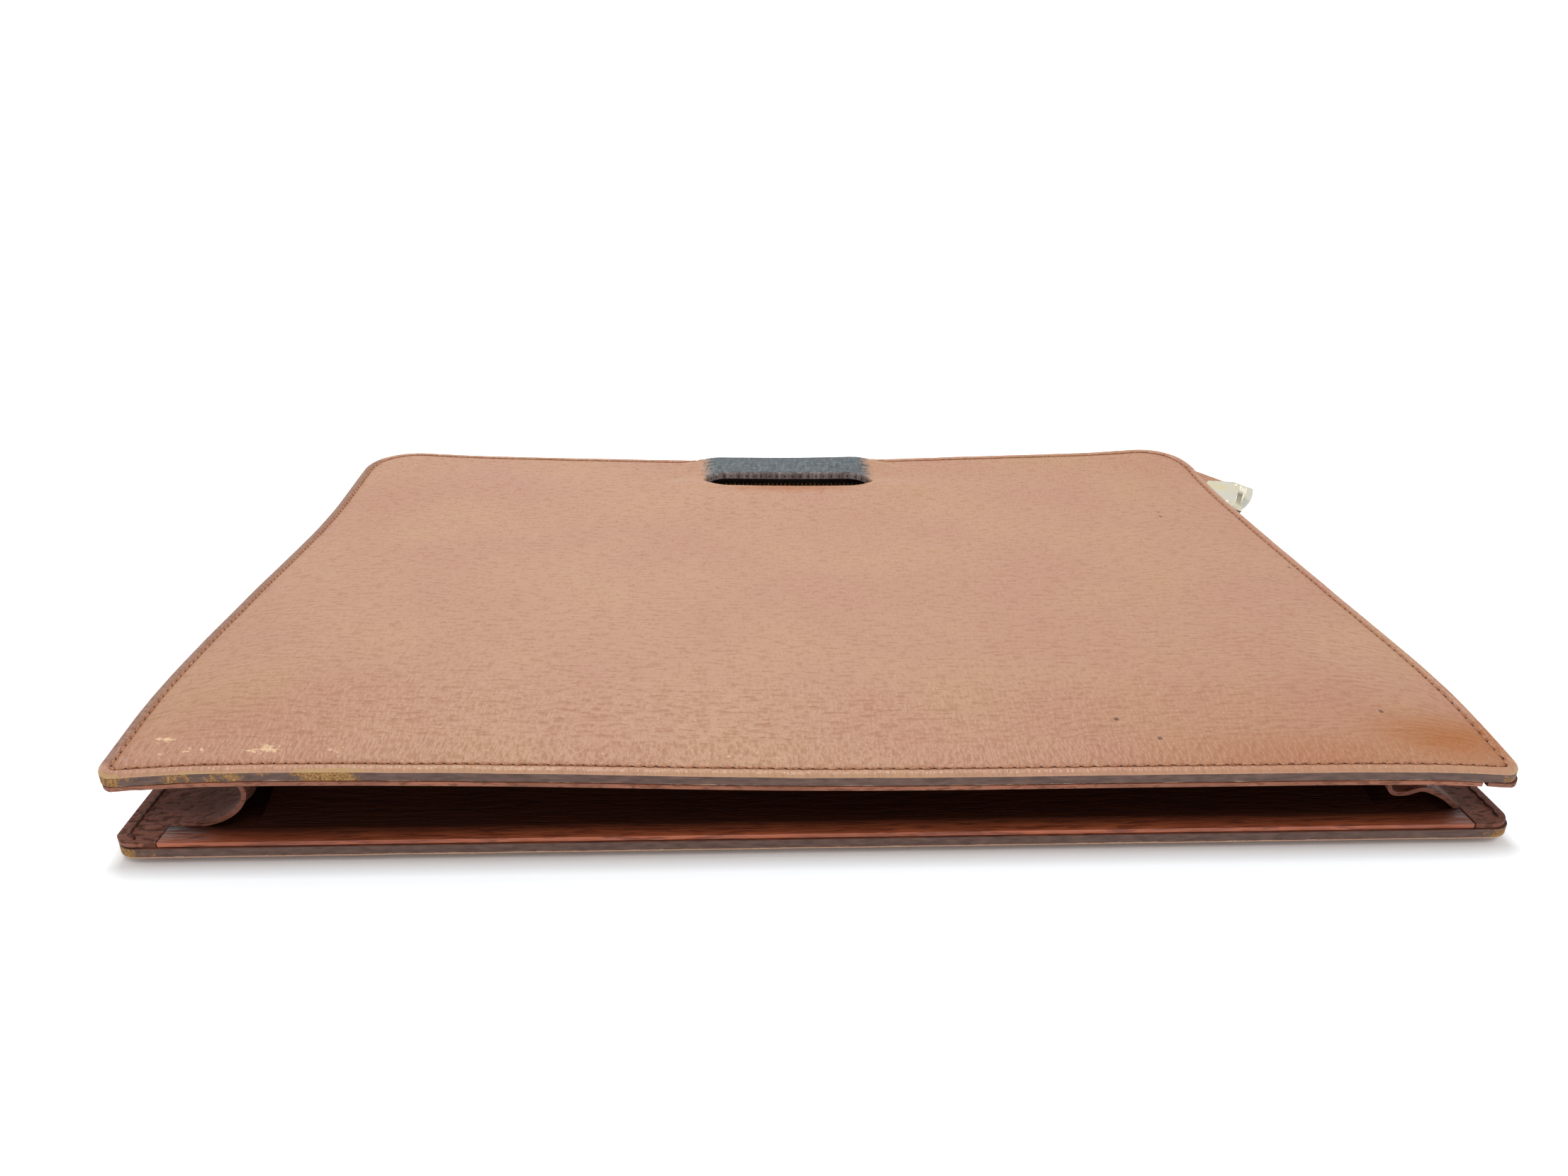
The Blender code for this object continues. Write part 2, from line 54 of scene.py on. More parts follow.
# Panels of laminated leather, as wide and high as in the frame
PANEL_LOW, PANEL_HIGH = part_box("back_panel")
WIDTH = PANEL_HIGH.x - PANEL_LOW.x
HEIGHT = PANEL_HIGH.y - PANEL_LOW.y
PANEL = 3.8 * MM
BOTTOM_CORNER = 6.5 * MM
TOP_CORNER = 26 * MM
ARRIS = 0.8 * MM
INNER_ARRIS = 0.25 * MM
CELL = 3.2 * MM
RIM_RINGS = (0.2, 0.3, 0.45, 0.75, 0.7, 0.5, 0.3, 0.3, 0.4, 0.8, 1.0)
SLOT_RINGS = (0.15, 0.25, 0.4, 0.6, 0.9, 1.2, 1.5)
WALL_LEVELS = (0.06, 0.2, 0.5, 0.8, 0.94)
# how far the grid of cells is shifted, to run past the rings' points, and how near a point has to lie
# for a cut to use it, in metres for the cells and as a share of the thickness for the wall's levels
CELL_SHIFT = 0.03 * MM
CELL_SNAP = 0.02 * MM
LEVEL_SNAP = 0.0001
# share of the thickness that still counts as a panel's face, and how near the slot a wall is the slot's
FACE_SHARE = 0.01
SLOT_WALL = 1 * MM

# How the bag lies
RIM_HEIGHT = 29 * MM
RIM_LIFT = 2.5 * MM
LIFT_RUN = 32 * MM
CROWN = 3.0 * MM
CROWN_RUN = 50 * MM
GAP = 0.4 * MM
LEAF_GAP = 0.06 * MM
FRONT_SHIFT = Vector((-1.2 * MM, 1.2 * MM, 0))

# Hand slot and padded grip
SLOT_LENGTH = 84 * MM
SLOT_WIDTH = 26 * MM
GRIP_BAR = 21 * MM
SLOT_LIFT = 3.4 * MM
SLOT_LIFT_RUN = 42 * MM
GRIP_LENGTH = 90 * MM
GRIP_FADE = 22 * MM
GRIP_DROP = 0.5
GRIP_EDGE = 4.5 * MM
GRIP_HEM = 0.8 * MM
GRIP_SWELL = 3.8 * MM
GRIP_SWELL_BACK = 0.8 * MM
GRIP_ARRIS = 1.3 * MM
STAIN_HALF = 40 * MM
STAIN_FADE = 14 * MM
STAIN_NEAR = 3 * MM
STAIN_NEAR_FADE = 4 * MM
# A crease from the grip's left end towards the near edge: start, end, depth, half width
CREASE_START, CREASE_END = Vector((-0.046, 0.141)), Vector((-0.074, 0.096))
CREASE_DEPTH = 1.0 * MM
CREASE_REACH = 4.0 * MM
SLOT_MIDDLE = HEIGHT / 2 - GRIP_BAR - SLOT_WIDTH / 2

# Seams
SEAM_INSET = 3.4 * MM
SEAM_PITCH = 4.0 * MM
SEAM_PITCH_LEFT = 3.2 * MM
STITCH = 3.4 * MM
THREAD = 1.05 * MM
STITCH_SLANT = 9
STITCH_SLANT_CHANGE = 0.4
# the thread's middle over the skin and its height, as shares of its width, and how far and how fast,
# for each metre, it rises and falls
THREAD_OUT = 0.22
THREAD_FLAT = 0.8
THREAD_WOBBLE = 0.1 * MM
WOBBLE_RATE = 400
# an awl hole's length, width and depth, how far on from its stitch, and its rim's height
AWL_HOLE = (1.9 * MM, 0.7 * MM, 0.3 * MM)
AWL_FROM_STITCH = 0.6
AWL_RIM = 0.04 * MM
AWL_SLANT = -28
# a needle hole in the grip's lip: its height, length and depth, its place up the wall, and its rim
LIP_HOLE = (1.0 * MM, 0.75 * MM, 0.3 * MM)
LIP_HOLE_HEIGHT = 0.6
LIP_HOLE_RIM = 0.05 * MM
LIP_HOLES_FROM = 2 * MM
LEAF_SEAM_STRIP = 6 * MM
# turns a bead's poles to its first axis
UPRIGHT = Matrix.Rotation(math.radians(90), 4, "Y")

# Wear on the front skin, and a painted highlight among the burnished patches: place along and across the
# bag, reach each way, strength
SCUFFS = (
    (-0.195, -0.133, 0.007, 0.004, 0.9), (-0.195, -0.1405, 0.008, 0.003, 1.0),
    (-0.184, -0.1405, 0.010, 0.0035, 0.85), (-0.164, -0.1395, 0.011, 0.005, 1.0),
    (-0.144, -0.1395, 0.005, 0.003, 0.85), (-0.02, -0.1395, 0.15, 0.005, 0.38),
)
WORN_EDGES = (
    (-0.208, -0.148, 0.014, 0.012, 1.0), (0.210, -0.148, 0.012, 0.010, 0.8),
    (-0.1435, -0.149, 0.016, 0.006, 1.3), (-0.178, -0.149, 0.045, 0.004, 0.6),
)
WORN_BACK = ((-0.208, -0.148, 0.016, 0.014, 0.9), (0.208, -0.148, 0.014, 0.012, 0.8))
# burnished patches; the last is a painted highlight along the slot's near edge
BURNISH_AND_HIGHLIGHT = (
    (0.195, -0.134, 0.040, 0.020, 1.0), (0.15, -0.141, 0.10, 0.014, 0.5),
    (0.0, 0.099, 0.050, 0.007, 0.9),
)
SPECKS = (
    (0.1693, 0.0665), (0.1680, 0.0605), (0.1768, -0.1200),
    (0.0902, -0.1232), (0.1012, -0.1322), (0.2018, 0.0008),
)
SPECK_RADIUS = 1.0 * MM

# Strips along the panels' edges, in mm: how far in each reaches and over how much it fades
NEAR_STRIP = (7.0, 3.0)
SIDE_STRIP = (6.0, 2.0)
STANDING_SIDES = (9.0, 4.0)
PULLED_SIDES = (28.0, 28.0)
WORN_STRIP = (1.1, 0.8)
RUBBED_STRIP = (0.7, 0.5)
PALE_STRIP = (2.4, 1.6)
WRAP_STRIP = (3.2, 0.8)
ARRIS_STRIP = (0.3, 0.2)
# How dark the wrap and the arris are, and how fast the wrap's dark grows to the left, for each metre
WRAP_SHADE, ARRIS_SHADE, WRAP_GROWTH = 0.5, 0.7, 9
# Relief beside the edge, in mm: rise, more rise along the sides, distance from the edge and reach,
# of the seam's groove, the margin outside it and the pillow inside it
EDGE_RELIEF = ((-0.22, -0.4, SEAM_INSET / MM, 1.0), (0.25, 0.3, 1.7, 1.5), (0.2, 0.0, 7.5, 4.0))
# the skin's slow rise and fall, and how fast it changes for each metre
WAVER = 0.12 * MM
WAVER_RATE = 60

# Calf's grain: size of its creases and ticks in mm, how much each is drawn out, how far the
# margins pull it, and the strip beside the near edge in which the ticks take over
GRAIN_MM, TICK_MM = 1.5, 1.3
GRAIN_STRETCH, TICK_STRETCH = 0.28, 0.4
PULL_MM = 7
TICKS_START, TICKS_FULL = 19 * MM, 12 * MM
# Strip beside the near edge over which painted shade darkens a gusset, deeper inside its fold
INNER_SHADE_START, INNER_SHADE_FULL = 1.5 * MM, 8 * MM
# Zip tape's weave, and the length of one wave of the texture at scale 1
RIB_PITCH = 0.9 * MM
WAVE_LENGTH = 0.314

# Gussets
GUSSET = 1.4 * MM
FLANGE = 9.0 * MM
CORNER_TAB = 12.7 * MM
SIDE_DEPTH = 37 * MM
SIDE_DEPTH_TOP = 24 * MM
BOTTOM_DEPTH = 40 * MM
LEFT_TOP_GAP = 27 * MM
RIGHT_TOP_GAP = 39 * MM
NEAR_FOLD = 0.62
WRINKLE = 1.5 * MM
# how fast the wrinkles change across the fold and along it, and how they slant
WRINKLE_ACROSS, WRINKLE_SLANT, WRINKLE_ALONG = 5, 9, 26
# share of the wrinkles at the near end, and how fast they grow from there
WRINKLE_START, WRINKLE_GROWTH = 0.4, 6
GUSSET_ROUND = 0.32 * MM
GUIDE_INSET = 0.1 * MM
# heights below and above the bag between which a cut reaches
CUT_LOW, CUT_HIGH = -20 * MM, 80 * MM
# cells along and across each sheet
SIDE_GRID, BOTTOM_GRID, TAPE_GRID = (70, 60), (90, 60), (90, 16)

# Zip
TAPE = 0.9 * MM
ZIP_DEPTH = 8.0 * MM
TEETH_WIDTH = 5.4 * MM
TAPE_CLEAR = 0.15 * MM
TOOTH_PITCH = 2.2 * MM
TOOTH_LENGTH, TOOTH_DEPTH = 1.0 * MM, 2.3 * MM
# a tooth's width and its shift to its own side, as shares of the closed teeth's width
TOOTH_SHARE, TOOTH_SHIFT = 0.64, 0.17
TOOTH_BEVEL, SLIDER_BEVEL = 0.16 * MM, 0.35 * MM
ZIP_LEFT_TURN, ZIP_RIGHT_TURN = 85, 33
SLIDER_LENGTH = 11 * MM
SLIDER_FROM_END = 16 * MM
# Slider's two shields, the bridge between them, the pull's eye and the pull, in mm:
# how far each lies outwards and along the zip, and its length, thickness and width
SLIDER_BLOCKS = (
    (-2.15, 0.0, (11.0, 1.1, 9.2)), (2.15, 0.0, (11.0, 1.1, 9.2)), (0.0, 0.0, (9.8, 3.4, 4.2)),
    (3.5, 0.0, (3.2, 2.4, 3.0)), (4.8, -10.5, (27.0, 1.2, 7.0)),
)

# Tab with its lock plate
TAB_LENGTH = 47.5 * MM
TAB_WIDTH = 23.6 * MM
TAB_THICK = 2.8 * MM
TAB_BELOW_FRONT = 1.6 * MM
TAB_DROOP, TAB_ROLL = 11, 10
PLATE_THICK = 1.0 * MM
PLATE_LENGTH = 23 * MM
PLATE_WIDTH = 24 * MM
PLATE_SHOULDER = 11 * MM
PLATE_NOSE = 8 * MM
PLATE_BULGE = 1.6 * MM
RIVET_RADIUS = 1.2 * MM
RIVET_HEAD = 0.7 * MM
RIVET_INSET = 2.7 * MM
RIVET_FROM_END = 9.3 * MM
STAPLE_SPAN = 7.2 * MM
STAPLE_HEIGHT = 7.0 * MM
STAPLE_STRAP = 3.0 * MM
STAPLE_THICK = 1.3 * MM
STAPLE_FROM_END = 4.8 * MM
STAPLE_SIDE = 2.5 * MM
STAPLE_SUNK = 0.2 * MM
TAB_ROUND, PLATE_ROUND, STAPLE_ROUND = 0.5 * MM, 0.3 * MM, 0.35 * MM

# Studio: the paper's reach, its glow and the run over which that grows from the bag's outline
FLOOR_REACH = 0.9
FLOOR_GLOW, GLOW_RUN = 0.45, 7 * MM
# height and strength of the light's horizon and of its zenith
HORIZON, ZENITH = (0.12, 1.15), (0.65, 0.5)
# softboxes: name, place, size and power
SOFTBOXES = (
    ("softbox_above", (-0.1, 0.9, 1.6), 1.0, 22),
    ("softbox_near", (0.3, -1.2, 1.7), 0.8, 8),
)

# Height of the front panel's rim: share of the edge, share of RIM_HEIGHT
RIM_NEAR = ((0.0, 1.04), (0.08, 1.10), (0.25, 1.07), (0.5, 0.96), (0.75, 0.95), (0.92, 0.94), (1.0, 0.88))
RIM_FAR = ((0.0, 1.05), (0.1, 0.96), (0.25, 0.90), (0.5, 0.85), (0.75, 0.95), (0.9, 1.03), (1.0, 1.15))
RIM_LEFT = ((0.0, 1.04), (0.15, 1.15), (0.4, 1.07), (0.7, 0.92), (0.9, 1.00), (1.0, 1.05))
RIM_RIGHT = ((0.0, 0.88), (0.15, 1.02), (0.4, 0.98), (0.7, 0.92), (0.9, 0.95), (1.0, 1.15))

# Folded gussets seen end on, from the back panel to the front: share of depth, share of the gap
FOLD_LEFT = (
    (0.0, 0.0), (0.2, 0.0), (0.36, 0.0), (0.60, 0.05), (0.78, 0.14), (0.93, 0.33), (1.0, 0.56),
    (0.95, 0.78), (0.80, 0.90), (0.58, 0.96), (0.36, 1.0), (0.2, 1.0), (0.0, 1.0),
)
FOLD_RIGHT = (
    (0.0, 0.0), (0.2, 0.0), (0.36, 0.03), (0.50, 0.28), (0.68, 0.47), (0.82, 0.40), (0.95, 0.42),
    (1.0, 0.62), (0.92, 0.80), (0.66, 0.92), (0.36, 1.0), (0.2, 1.0), (0.0, 1.0),
)
FOLD_PLAIN = (
    (0.0, 0.0), (0.2, 0.0), (0.36, 0.04), (0.60, 0.18), (0.80, 0.31), (0.94, 0.41), (1.0, 0.5),
    (0.94, 0.59), (0.80, 0.69), (0.60, 0.82), (0.36, 0.96), (0.2, 1.0), (0.0, 1.0),
)
# Zip tape seen end on: share of ZIP_DEPTH, share of the way from its panel to the teeth
TAPE_BEND = ((0.12, 0.0), (0.5, 0.0), (0.84, 0.04), (1.0, 0.22), (1.0, 0.6), (1.0, 1.0))


def ease(value):
    """A share from 0 to 1 that starts and ends gently."""
    value = min(max(value, 0.0), 1.0)
    return value * value * (3 - 2 * value)


def curve_through(rows, at):
    """A table's second column at a share of its first, on a smooth curve through its rows."""
    last = len(rows) - 2
    index = next((i for i in range(last) if at < rows[i + 1][0]), last)
    before, start = rows[max(index - 1, 0)], rows[index]
    end, after = rows[index + 1], rows[min(index + 2, last + 1)]
    step = end[0] - start[0]
    share = (at - start[0]) / step
    slope_start = (end[1] - before[1]) / (end[0] - before[0]) * step
    slope_end = (after[1] - start[1]) / (after[0] - start[0]) * step
    square, cube = share ** 2, share ** 3
    return (
        (2 * cube - 3 * square + 1) * start[1] + (cube - 2 * square + share) * slope_start
        + (3 * square - 2 * cube) * end[1] + (cube - square) * slope_end
    )


def section_point(rows, share):
    """A point of a section's table, at a share of its rows."""
    places = [index / (len(rows) - 1) for index in range(len(rows))]
    return [curve_through(list(zip(places, column)), share) for column in zip(*rows)]


def hump(value):
    """1 at 0, falling smoothly to 0 at 1 either way."""
    return ease(1 - abs(value))


def strip(distance, reach):
    """1 at an edge, fading to 0 at a distance from it, over the last of the way."""
    end, fade = reach
    return ease((end * MM - distance) / (fade * MM))


def inside(x, y, run):
    """0 along the panels' edges and 1 where the point lies a run or more inside them."""
    return ease((WIDTH / 2 - abs(x)) / run) * ease((HEIGHT / 2 - abs(y)) / run)


def back_underside(x, y):
    """Height of the back panel's outer face: flat on the floor, lifted along its rim."""
    return RIM_LIFT * (1 - inside(x, y, LIFT_RUN))


def front_underside(x, y):
    """Height of the front panel's inner face: a patch between its four rim curves, with a crown."""
    u, v = (min(max(share + 0.5, 0.0), 1.0) for share in (x / WIDTH, y / HEIGHT))
    between = (1 - v) * curve_through(RIM_NEAR, u) + v * curve_through(RIM_FAR, u)
    between += (1 - u) * curve_through(RIM_LEFT, v) + u * curve_through(RIM_RIGHT, v)
    near_corners = (1 - u) * RIM_NEAR[0][1] + u * RIM_NEAR[-1][1]
    far_corners = (1 - u) * RIM_FAR[0][1] + u * RIM_FAR[-1][1]
    between -= (1 - v) * near_corners + v * far_corners
    return RIM_HEIGHT * between - PANEL + CROWN * inside(x, y, CROWN_RUN)


def leaned(place):
    """Shears a point with its height, as the front panel lies a little askew on the back one."""
    low = back_underside(place.x, place.y) + PANEL
    share = (place.z - low) / (front_underside(place.x, place.y) - low)
    return place + FRONT_SHIFT * min(max(share, 0.0), 1.0)


def between_panels(x, y, thickness):
    """Lowest and highest middle heights of a layer that lies between the panels."""
    room = LEAF_GAP + thickness / 2
    return back_underside(x, y) + PANEL + room, front_underside(x, y) - room


def edge_distance(x, y):
    """How far a point lies inside the panels' outline."""
    radius = TOP_CORNER if y > 0 else BOTTOM_CORNER
    across, along = abs(x) - WIDTH / 2 + radius, abs(y) - HEIGHT / 2 + radius
    return radius - math.hypot(max(across, 0), max(along, 0)) - min(max(across, along), 0)


def slot_distance(x, y):
    """How far a point lies outside the hand slot."""
    past_end = max(abs(x) - (SLOT_LENGTH - SLOT_WIDTH) / 2, 0)
    return math.hypot(past_end, y - SLOT_MIDDLE) - SLOT_WIDTH / 2


def grip_share(x, y):
    """1 on the padded bar, fading out at its ends, at the top edge and past the slot."""
    along = ease((GRIP_LENGTH / 2 + GRIP_FADE / 2 - abs(x)) / GRIP_FADE)
    from_edge = HEIGHT / 2 - y
    roll = ease((from_edge - GRIP_HEM) / GRIP_EDGE) - GRIP_DROP * ease((2 * from_edge - GRIP_BAR) / GRIP_BAR)
    return along * roll * ease((GRIP_BAR + GRIP_FADE - from_edge) / GRIP_FADE)


def front_bow(x, y):
    """How far the front panel stands up: its padded grip, the pull round its slot, and the crease."""
    near_side = ease(0.5 + (SLOT_MIDDLE - y) / SLOT_WIDTH)
    pulled = ease(1 - slot_distance(x, y) / SLOT_LIFT_RUN) * near_side
    line = CREASE_END - CREASE_START
    from_start = Vector((x, y)) - CREASE_START
    share = min(max(from_start.dot(line) / line.length_squared, 0.0), 1.0)
    crease = hump((from_start - line * share).length / CREASE_REACH) * ease(3 * (1 - share))
    return max(GRIP_SWELL * grip_share(x, y), SLOT_LIFT * pulled) - CREASE_DEPTH * crease


def back_bow(x, y):
    """How far the back panel's grip stands out."""
    return GRIP_SWELL_BACK * grip_share(x, y)


def inner_bow(x, y, bow):
    """How far a panel's inner face follows its bow, clear of what is sewn along its rim."""
    return bow(x, y) * ease((HEIGHT / 2 - y - FLANGE) / FLANGE)


def patches(rows, x, y):
    """The strength at a point of a table's soft round patches."""
    return max(share * hump(math.hypot((x - at_x) / reach_x, (y - at_y) / reach_y))
               for at_x, at_y, reach_x, reach_y, share in rows)


def rounding(distance, radius):
    """How far a rounded edge has dropped at a distance from it."""
    short = max(radius - distance, 0.0)
    return radius - math.sqrt(max(radius ** 2 - short ** 2, 0.0))


def linear(code):
    """An sRGB hex colour as linear values."""
    shares = [int(code[index:index + 2], 16) / 255 for index in (0, 2, 4)]
    return (
        *[share / 12.92 if share <= 0.04045 else ((share + 0.055) / 1.055) ** 2.4 for share in shares], 1,
    )


def add_node(tree, kind, inputs=None, **settings):
    """Adds a node with its settings, and with values or other nodes' outputs on its inputs."""
    node = tree.nodes.new(kind)
    for key, value in settings.items():
        setattr(node, key, value)
    for socket, value in (inputs or {}).items():
        if isinstance(value, bpy.types.NodeSocket):
            tree.links.new(value, node.inputs[socket])
        else:
            node.inputs[socket].default_value = value
    return node


def own_place(tree):
    """Places in a piece's own frame, which is the bag's."""
    return add_node(tree, "ShaderNodeTexCoord").outputs["Object"]


def mark(tree, name):
    """What a mesh carries under a name at each of its points."""
    return add_node(tree, "ShaderNodeAttribute", attribute_name=name).outputs["Fac"]


def stretched(tree, place, scale, turn=0.0):
    """Places scaled each way, then turned about the vertical."""
    inputs = {"Vector": place, "Scale": scale, "Rotation": (0, 0, turn)}
    return add_node(tree, "ShaderNodeMapping", inputs).outputs[0]


def spots(tree, place, size_mm, detail=2.0, roughness=0.5, distortion=0.0):
    """Noise over places, in spots of about the given size."""
    inputs = {
        "Vector": place, "Scale": 1 / MM / size_mm, "Detail": detail, "Roughness": roughness,
        "Distortion": distortion,
    }
    return add_node(tree, "ShaderNodeTexNoise", inputs).outputs[0]


def ranged(tree, value, low, high, start=0.0, end=1.0, **settings):
    """A value's range from low to high, stretched to run from start to end and held there."""
    inputs = {0: value, 1: low, 2: high, 3: start, 4: end}
    return add_node(tree, "ShaderNodeMapRange", inputs, **settings).outputs[0]


def worked_out(tree, operation, *values):
    """The result of a sum with values or other nodes' outputs."""
    return add_node(tree, "ShaderNodeMath", dict(enumerate(values)), operation=operation).outputs[0]


def mixed(tree, share, first, second):
    """Two values mixed by a share of the second."""
    return add_node(tree, "ShaderNodeMix", {0: share, 2: first, 3: second}).outputs[0]


def mixed_colour(tree, share, *colours):
    """Two colours mixed by a share of the second, each a hex code or another node's output."""
    first, second = (linear(colour) if isinstance(colour, str) else colour for colour in colours)
    inputs = {0: share, 6: first, 7: second}
    return add_node(tree, "ShaderNodeMix", inputs, data_type="RGBA").outputs[2]


def add_bump(tree, shader, height, strength, depth_mm):
    """Bumps the shader's surface by a height from 0 to 1, over the given depth."""
    inputs = {"Strength": strength, "Distance": depth_mm * MM, "Height": height}
    tree.links.new(add_node(tree, "ShaderNodeBump", inputs).outputs[0], shader.inputs["Normal"])


def new_material(name, **values):
    """A material with the given values on its shader's own sockets."""
    material = bpy.data.materials.new(name)
    material.use_nodes = True
    tree = material.node_tree
    shader = tree.nodes["Principled BSDF"]
    for socket, value in values.items():
        shader.inputs[socket.replace("_", " ")].default_value = value
    return material, tree, shader


def calf_grain(tree, flat, upright, pull_mm):
    """Fine broken creases that run along the bag and bend with its pulled margins."""
    apart = add_node(tree, "ShaderNodeSeparateXYZ", {0: flat}).outputs
    along = worked_out(tree, "MULTIPLY", apart["X"], GRAIN_STRETCH)
    across = worked_out(tree, "MULTIPLY_ADD", pull_mm, MM, apart["Y"])
    bent = add_node(tree, "ShaderNodeCombineXYZ", {"X": along, "Y": across}).outputs[0]
    ridges = spots(tree, bent, GRAIN_MM, 1.5, distortion=0.2)
    crosses = spots(tree, upright, TICK_MM, 1.5)
    # in the strip beside the near seam they give way to short upright ticks
    cross_share = ranged(
        tree, apart["Y"], TICKS_START - HEIGHT / 2, TICKS_FULL - HEIGHT / 2, 0.36, 0.8,
        interpolation_type="SMOOTHSTEP",
    )
    return mixed(tree, cross_share, ridges, crosses)


def calf_covers(tree, upright, marks, crease, flecks, worn_share):
    """What lies on the tan calf: shares and colours, in the order in which they cover it."""
    seam = worked_out(tree, "SUBTRACT", marks["edge_mm"], SEAM_INSET / MM)
    seam = worked_out(tree, "ABSOLUTE", seam)
    fleck_sum = worked_out(tree, "MULTIPLY_ADD", marks["scuff"], 0.28, flecks)
    # handling has stained the grip slate grey, deepest in the creases where the stain fades out
    stain_sum = worked_out(tree, "MULTIPLY_ADD", crease, marks["stain"], marks["stain"])
    streaks = ranged(tree, spots(tree, upright, 2.0, 5.0, 0.7), 0.45, 0.72)
    slate = mixed_colour(tree, streaks, "353F44", "5C666A")
    lip = mixed_colour(tree, ranged(tree, flecks, 0.44, 0.66), "6A5B58", "B5A8A2")
    return (
        (worked_out(tree, "MULTIPLY", crease, 0.2), "7E4A2E"),
        # painted shade along the seam's groove
        (ranged(tree, seam, 0.25, 0.95, 0.3, 0.0), "6B3C26"),
        # burnished patches, and a painted highlight along the slot's near edge
        (marks["burnish_and_highlight"], "A0602C"),
        # pale worn rim along the near edge, partly a painted highlight on its arris
        (worked_out(tree, "MULTIPLY", marks["pale_rim"], 0.22), "CFA888"),
        (marks["dark_rim"], "5A3E38"),
        (ranged(tree, fleck_sum, 0.68, 0.74), "D9B48C"),
        (worn_share, "B8946A"),
        (ranged(tree, stain_sum, 0.15, 0.8), slate),
        (marks["rubbed"], lip),
    )


def boarded_calf():
    """Tan calf, boarded by hand: fine broken creases, satin, with its wear and stains."""
    material, tree, shader = new_material("boarded_calf_tan", Roughness=0.5, Specular_IOR_Level=0.4)
    place = own_place(tree)
    flat = stretched(tree, place, (1, 1, 0))
    upright = stretched(tree, flat, (1.0, TICK_STRETCH, 1.0))
    names = ("edge_mm", "pull_mm", "scuff", "worn", "burnish_and_highlight", "stain", "rubbed", "pale_rim", "dark_rim")
    marks = {name: mark(tree, name) for name in names}
    grain = calf_grain(tree, flat, upright, marks["pull_mm"])
    crease = ranged(tree, grain, 0.50, 0.38)
    # the flecks of scuffed finish lie on slanting strokes
    flecks = spots(tree, stretched(tree, flat, (0.6, 1.0, 1.0), 0.5), 1.6, 5.0, 0.75)
    worn_sum = worked_out(tree, "MULTIPLY_ADD", marks["worn"], 0.7, flecks)
    worn_share = ranged(tree, worn_sum, 0.80, 0.95)
    clouds = ranged(tree, spots(tree, flat, 60, 4.0), 0.38, 0.62)
    colour = mixed_colour(tree, clouds, "B08463", "AE7D63")
    for share, cover in calf_covers(tree, upright, marks, crease, flecks, worn_share):
        colour = mixed_colour(tree, share, colour, cover)
    for at_x, at_y in SPECKS:
        inputs = {0: flat, 1: (at_x, at_y, 0)}
        distance = add_node(tree, "ShaderNodeVectorMath", inputs, operation="DISTANCE").outputs["Value"]
        speck = ranged(tree, distance, SPECK_RADIUS, SPECK_RADIUS / 2, 0.0, 0.8)
        colour = mixed_colour(tree, speck, colour, "4A2A18")
    tree.links.new(colour, shader.inputs["Base Color"])
    satin = ranged(tree, crease, 0.0, 1.0, 0.44, 0.62)
    polished = mixed(tree, marks["pale_rim"], satin, 0.3)
    tree.links.new(mixed(tree, worn_share, polished, 0.85), shader.inputs["Roughness"])
    add_bump(tree, shader, mixed(tree, 0.12, grain, spots(tree, place, 0.5)), 0.9, 1.3)
    return material


def painted_edge():
    """Laminated leather edge, painted dark and burnished, with bare suede where the paint has gone."""
    material, tree, shader = new_material("painted_leather_edge", Specular_IOR_Level=0.3)
    place = own_place(tree)
    streaks = spots(tree, stretched(tree, place, (0.25, 0.25, 1.0)), 1.2, 4.0)
    colour = mixed_colour(tree, ranged(tree, streaks, 0.35, 0.68), "4A332B", "634A40")
    # scratches have bared the paint's lower edge
    foot = ranged(tree, mark(tree, "rise"), 0.16, 0.02, 0.0, 0.34)
    scratches = spots(tree, stretched(tree, place, (0.5, 0.5, 1.0)), 6, 6.0, 0.8)
    scratched = ranged(tree, worked_out(tree, "ADD", foot, scratches), 0.84, 0.90, 0.0, 0.8)
    fibres = spots(tree, place, 0.6, 4.0, 0.75)
    fibre_share = ranged(tree, fibres, 0.38, 0.62)
    suede = mixed_colour(tree, fibre_share, "5E3E1E", "A87F4E")
    lip = mixed_colour(tree, fibre_share, "5E504E", "A89C98")
    bare_sum = worked_out(tree, "MULTIPLY_ADD", mark(tree, "worn"), 0.5, spots(tree, place, 4, 5.0, 0.7))
    bare = ranged(tree, bare_sum, 0.74, 0.84)
    for share, cover in ((scratched, "B7A48C"), (bare, suede), (mark(tree, "rubbed"), lip)):
        colour = mixed_colour(tree, share, colour, cover)
    tree.links.new(colour, shader.inputs["Base Color"])
    tree.links.new(ranged(tree, bare, 0.0, 1.0, 0.48, 0.9), shader.inputs["Roughness"])
    add_bump(tree, shader, mixed(tree, bare, streaks, fibres), 0.45, 0.4)
    return material


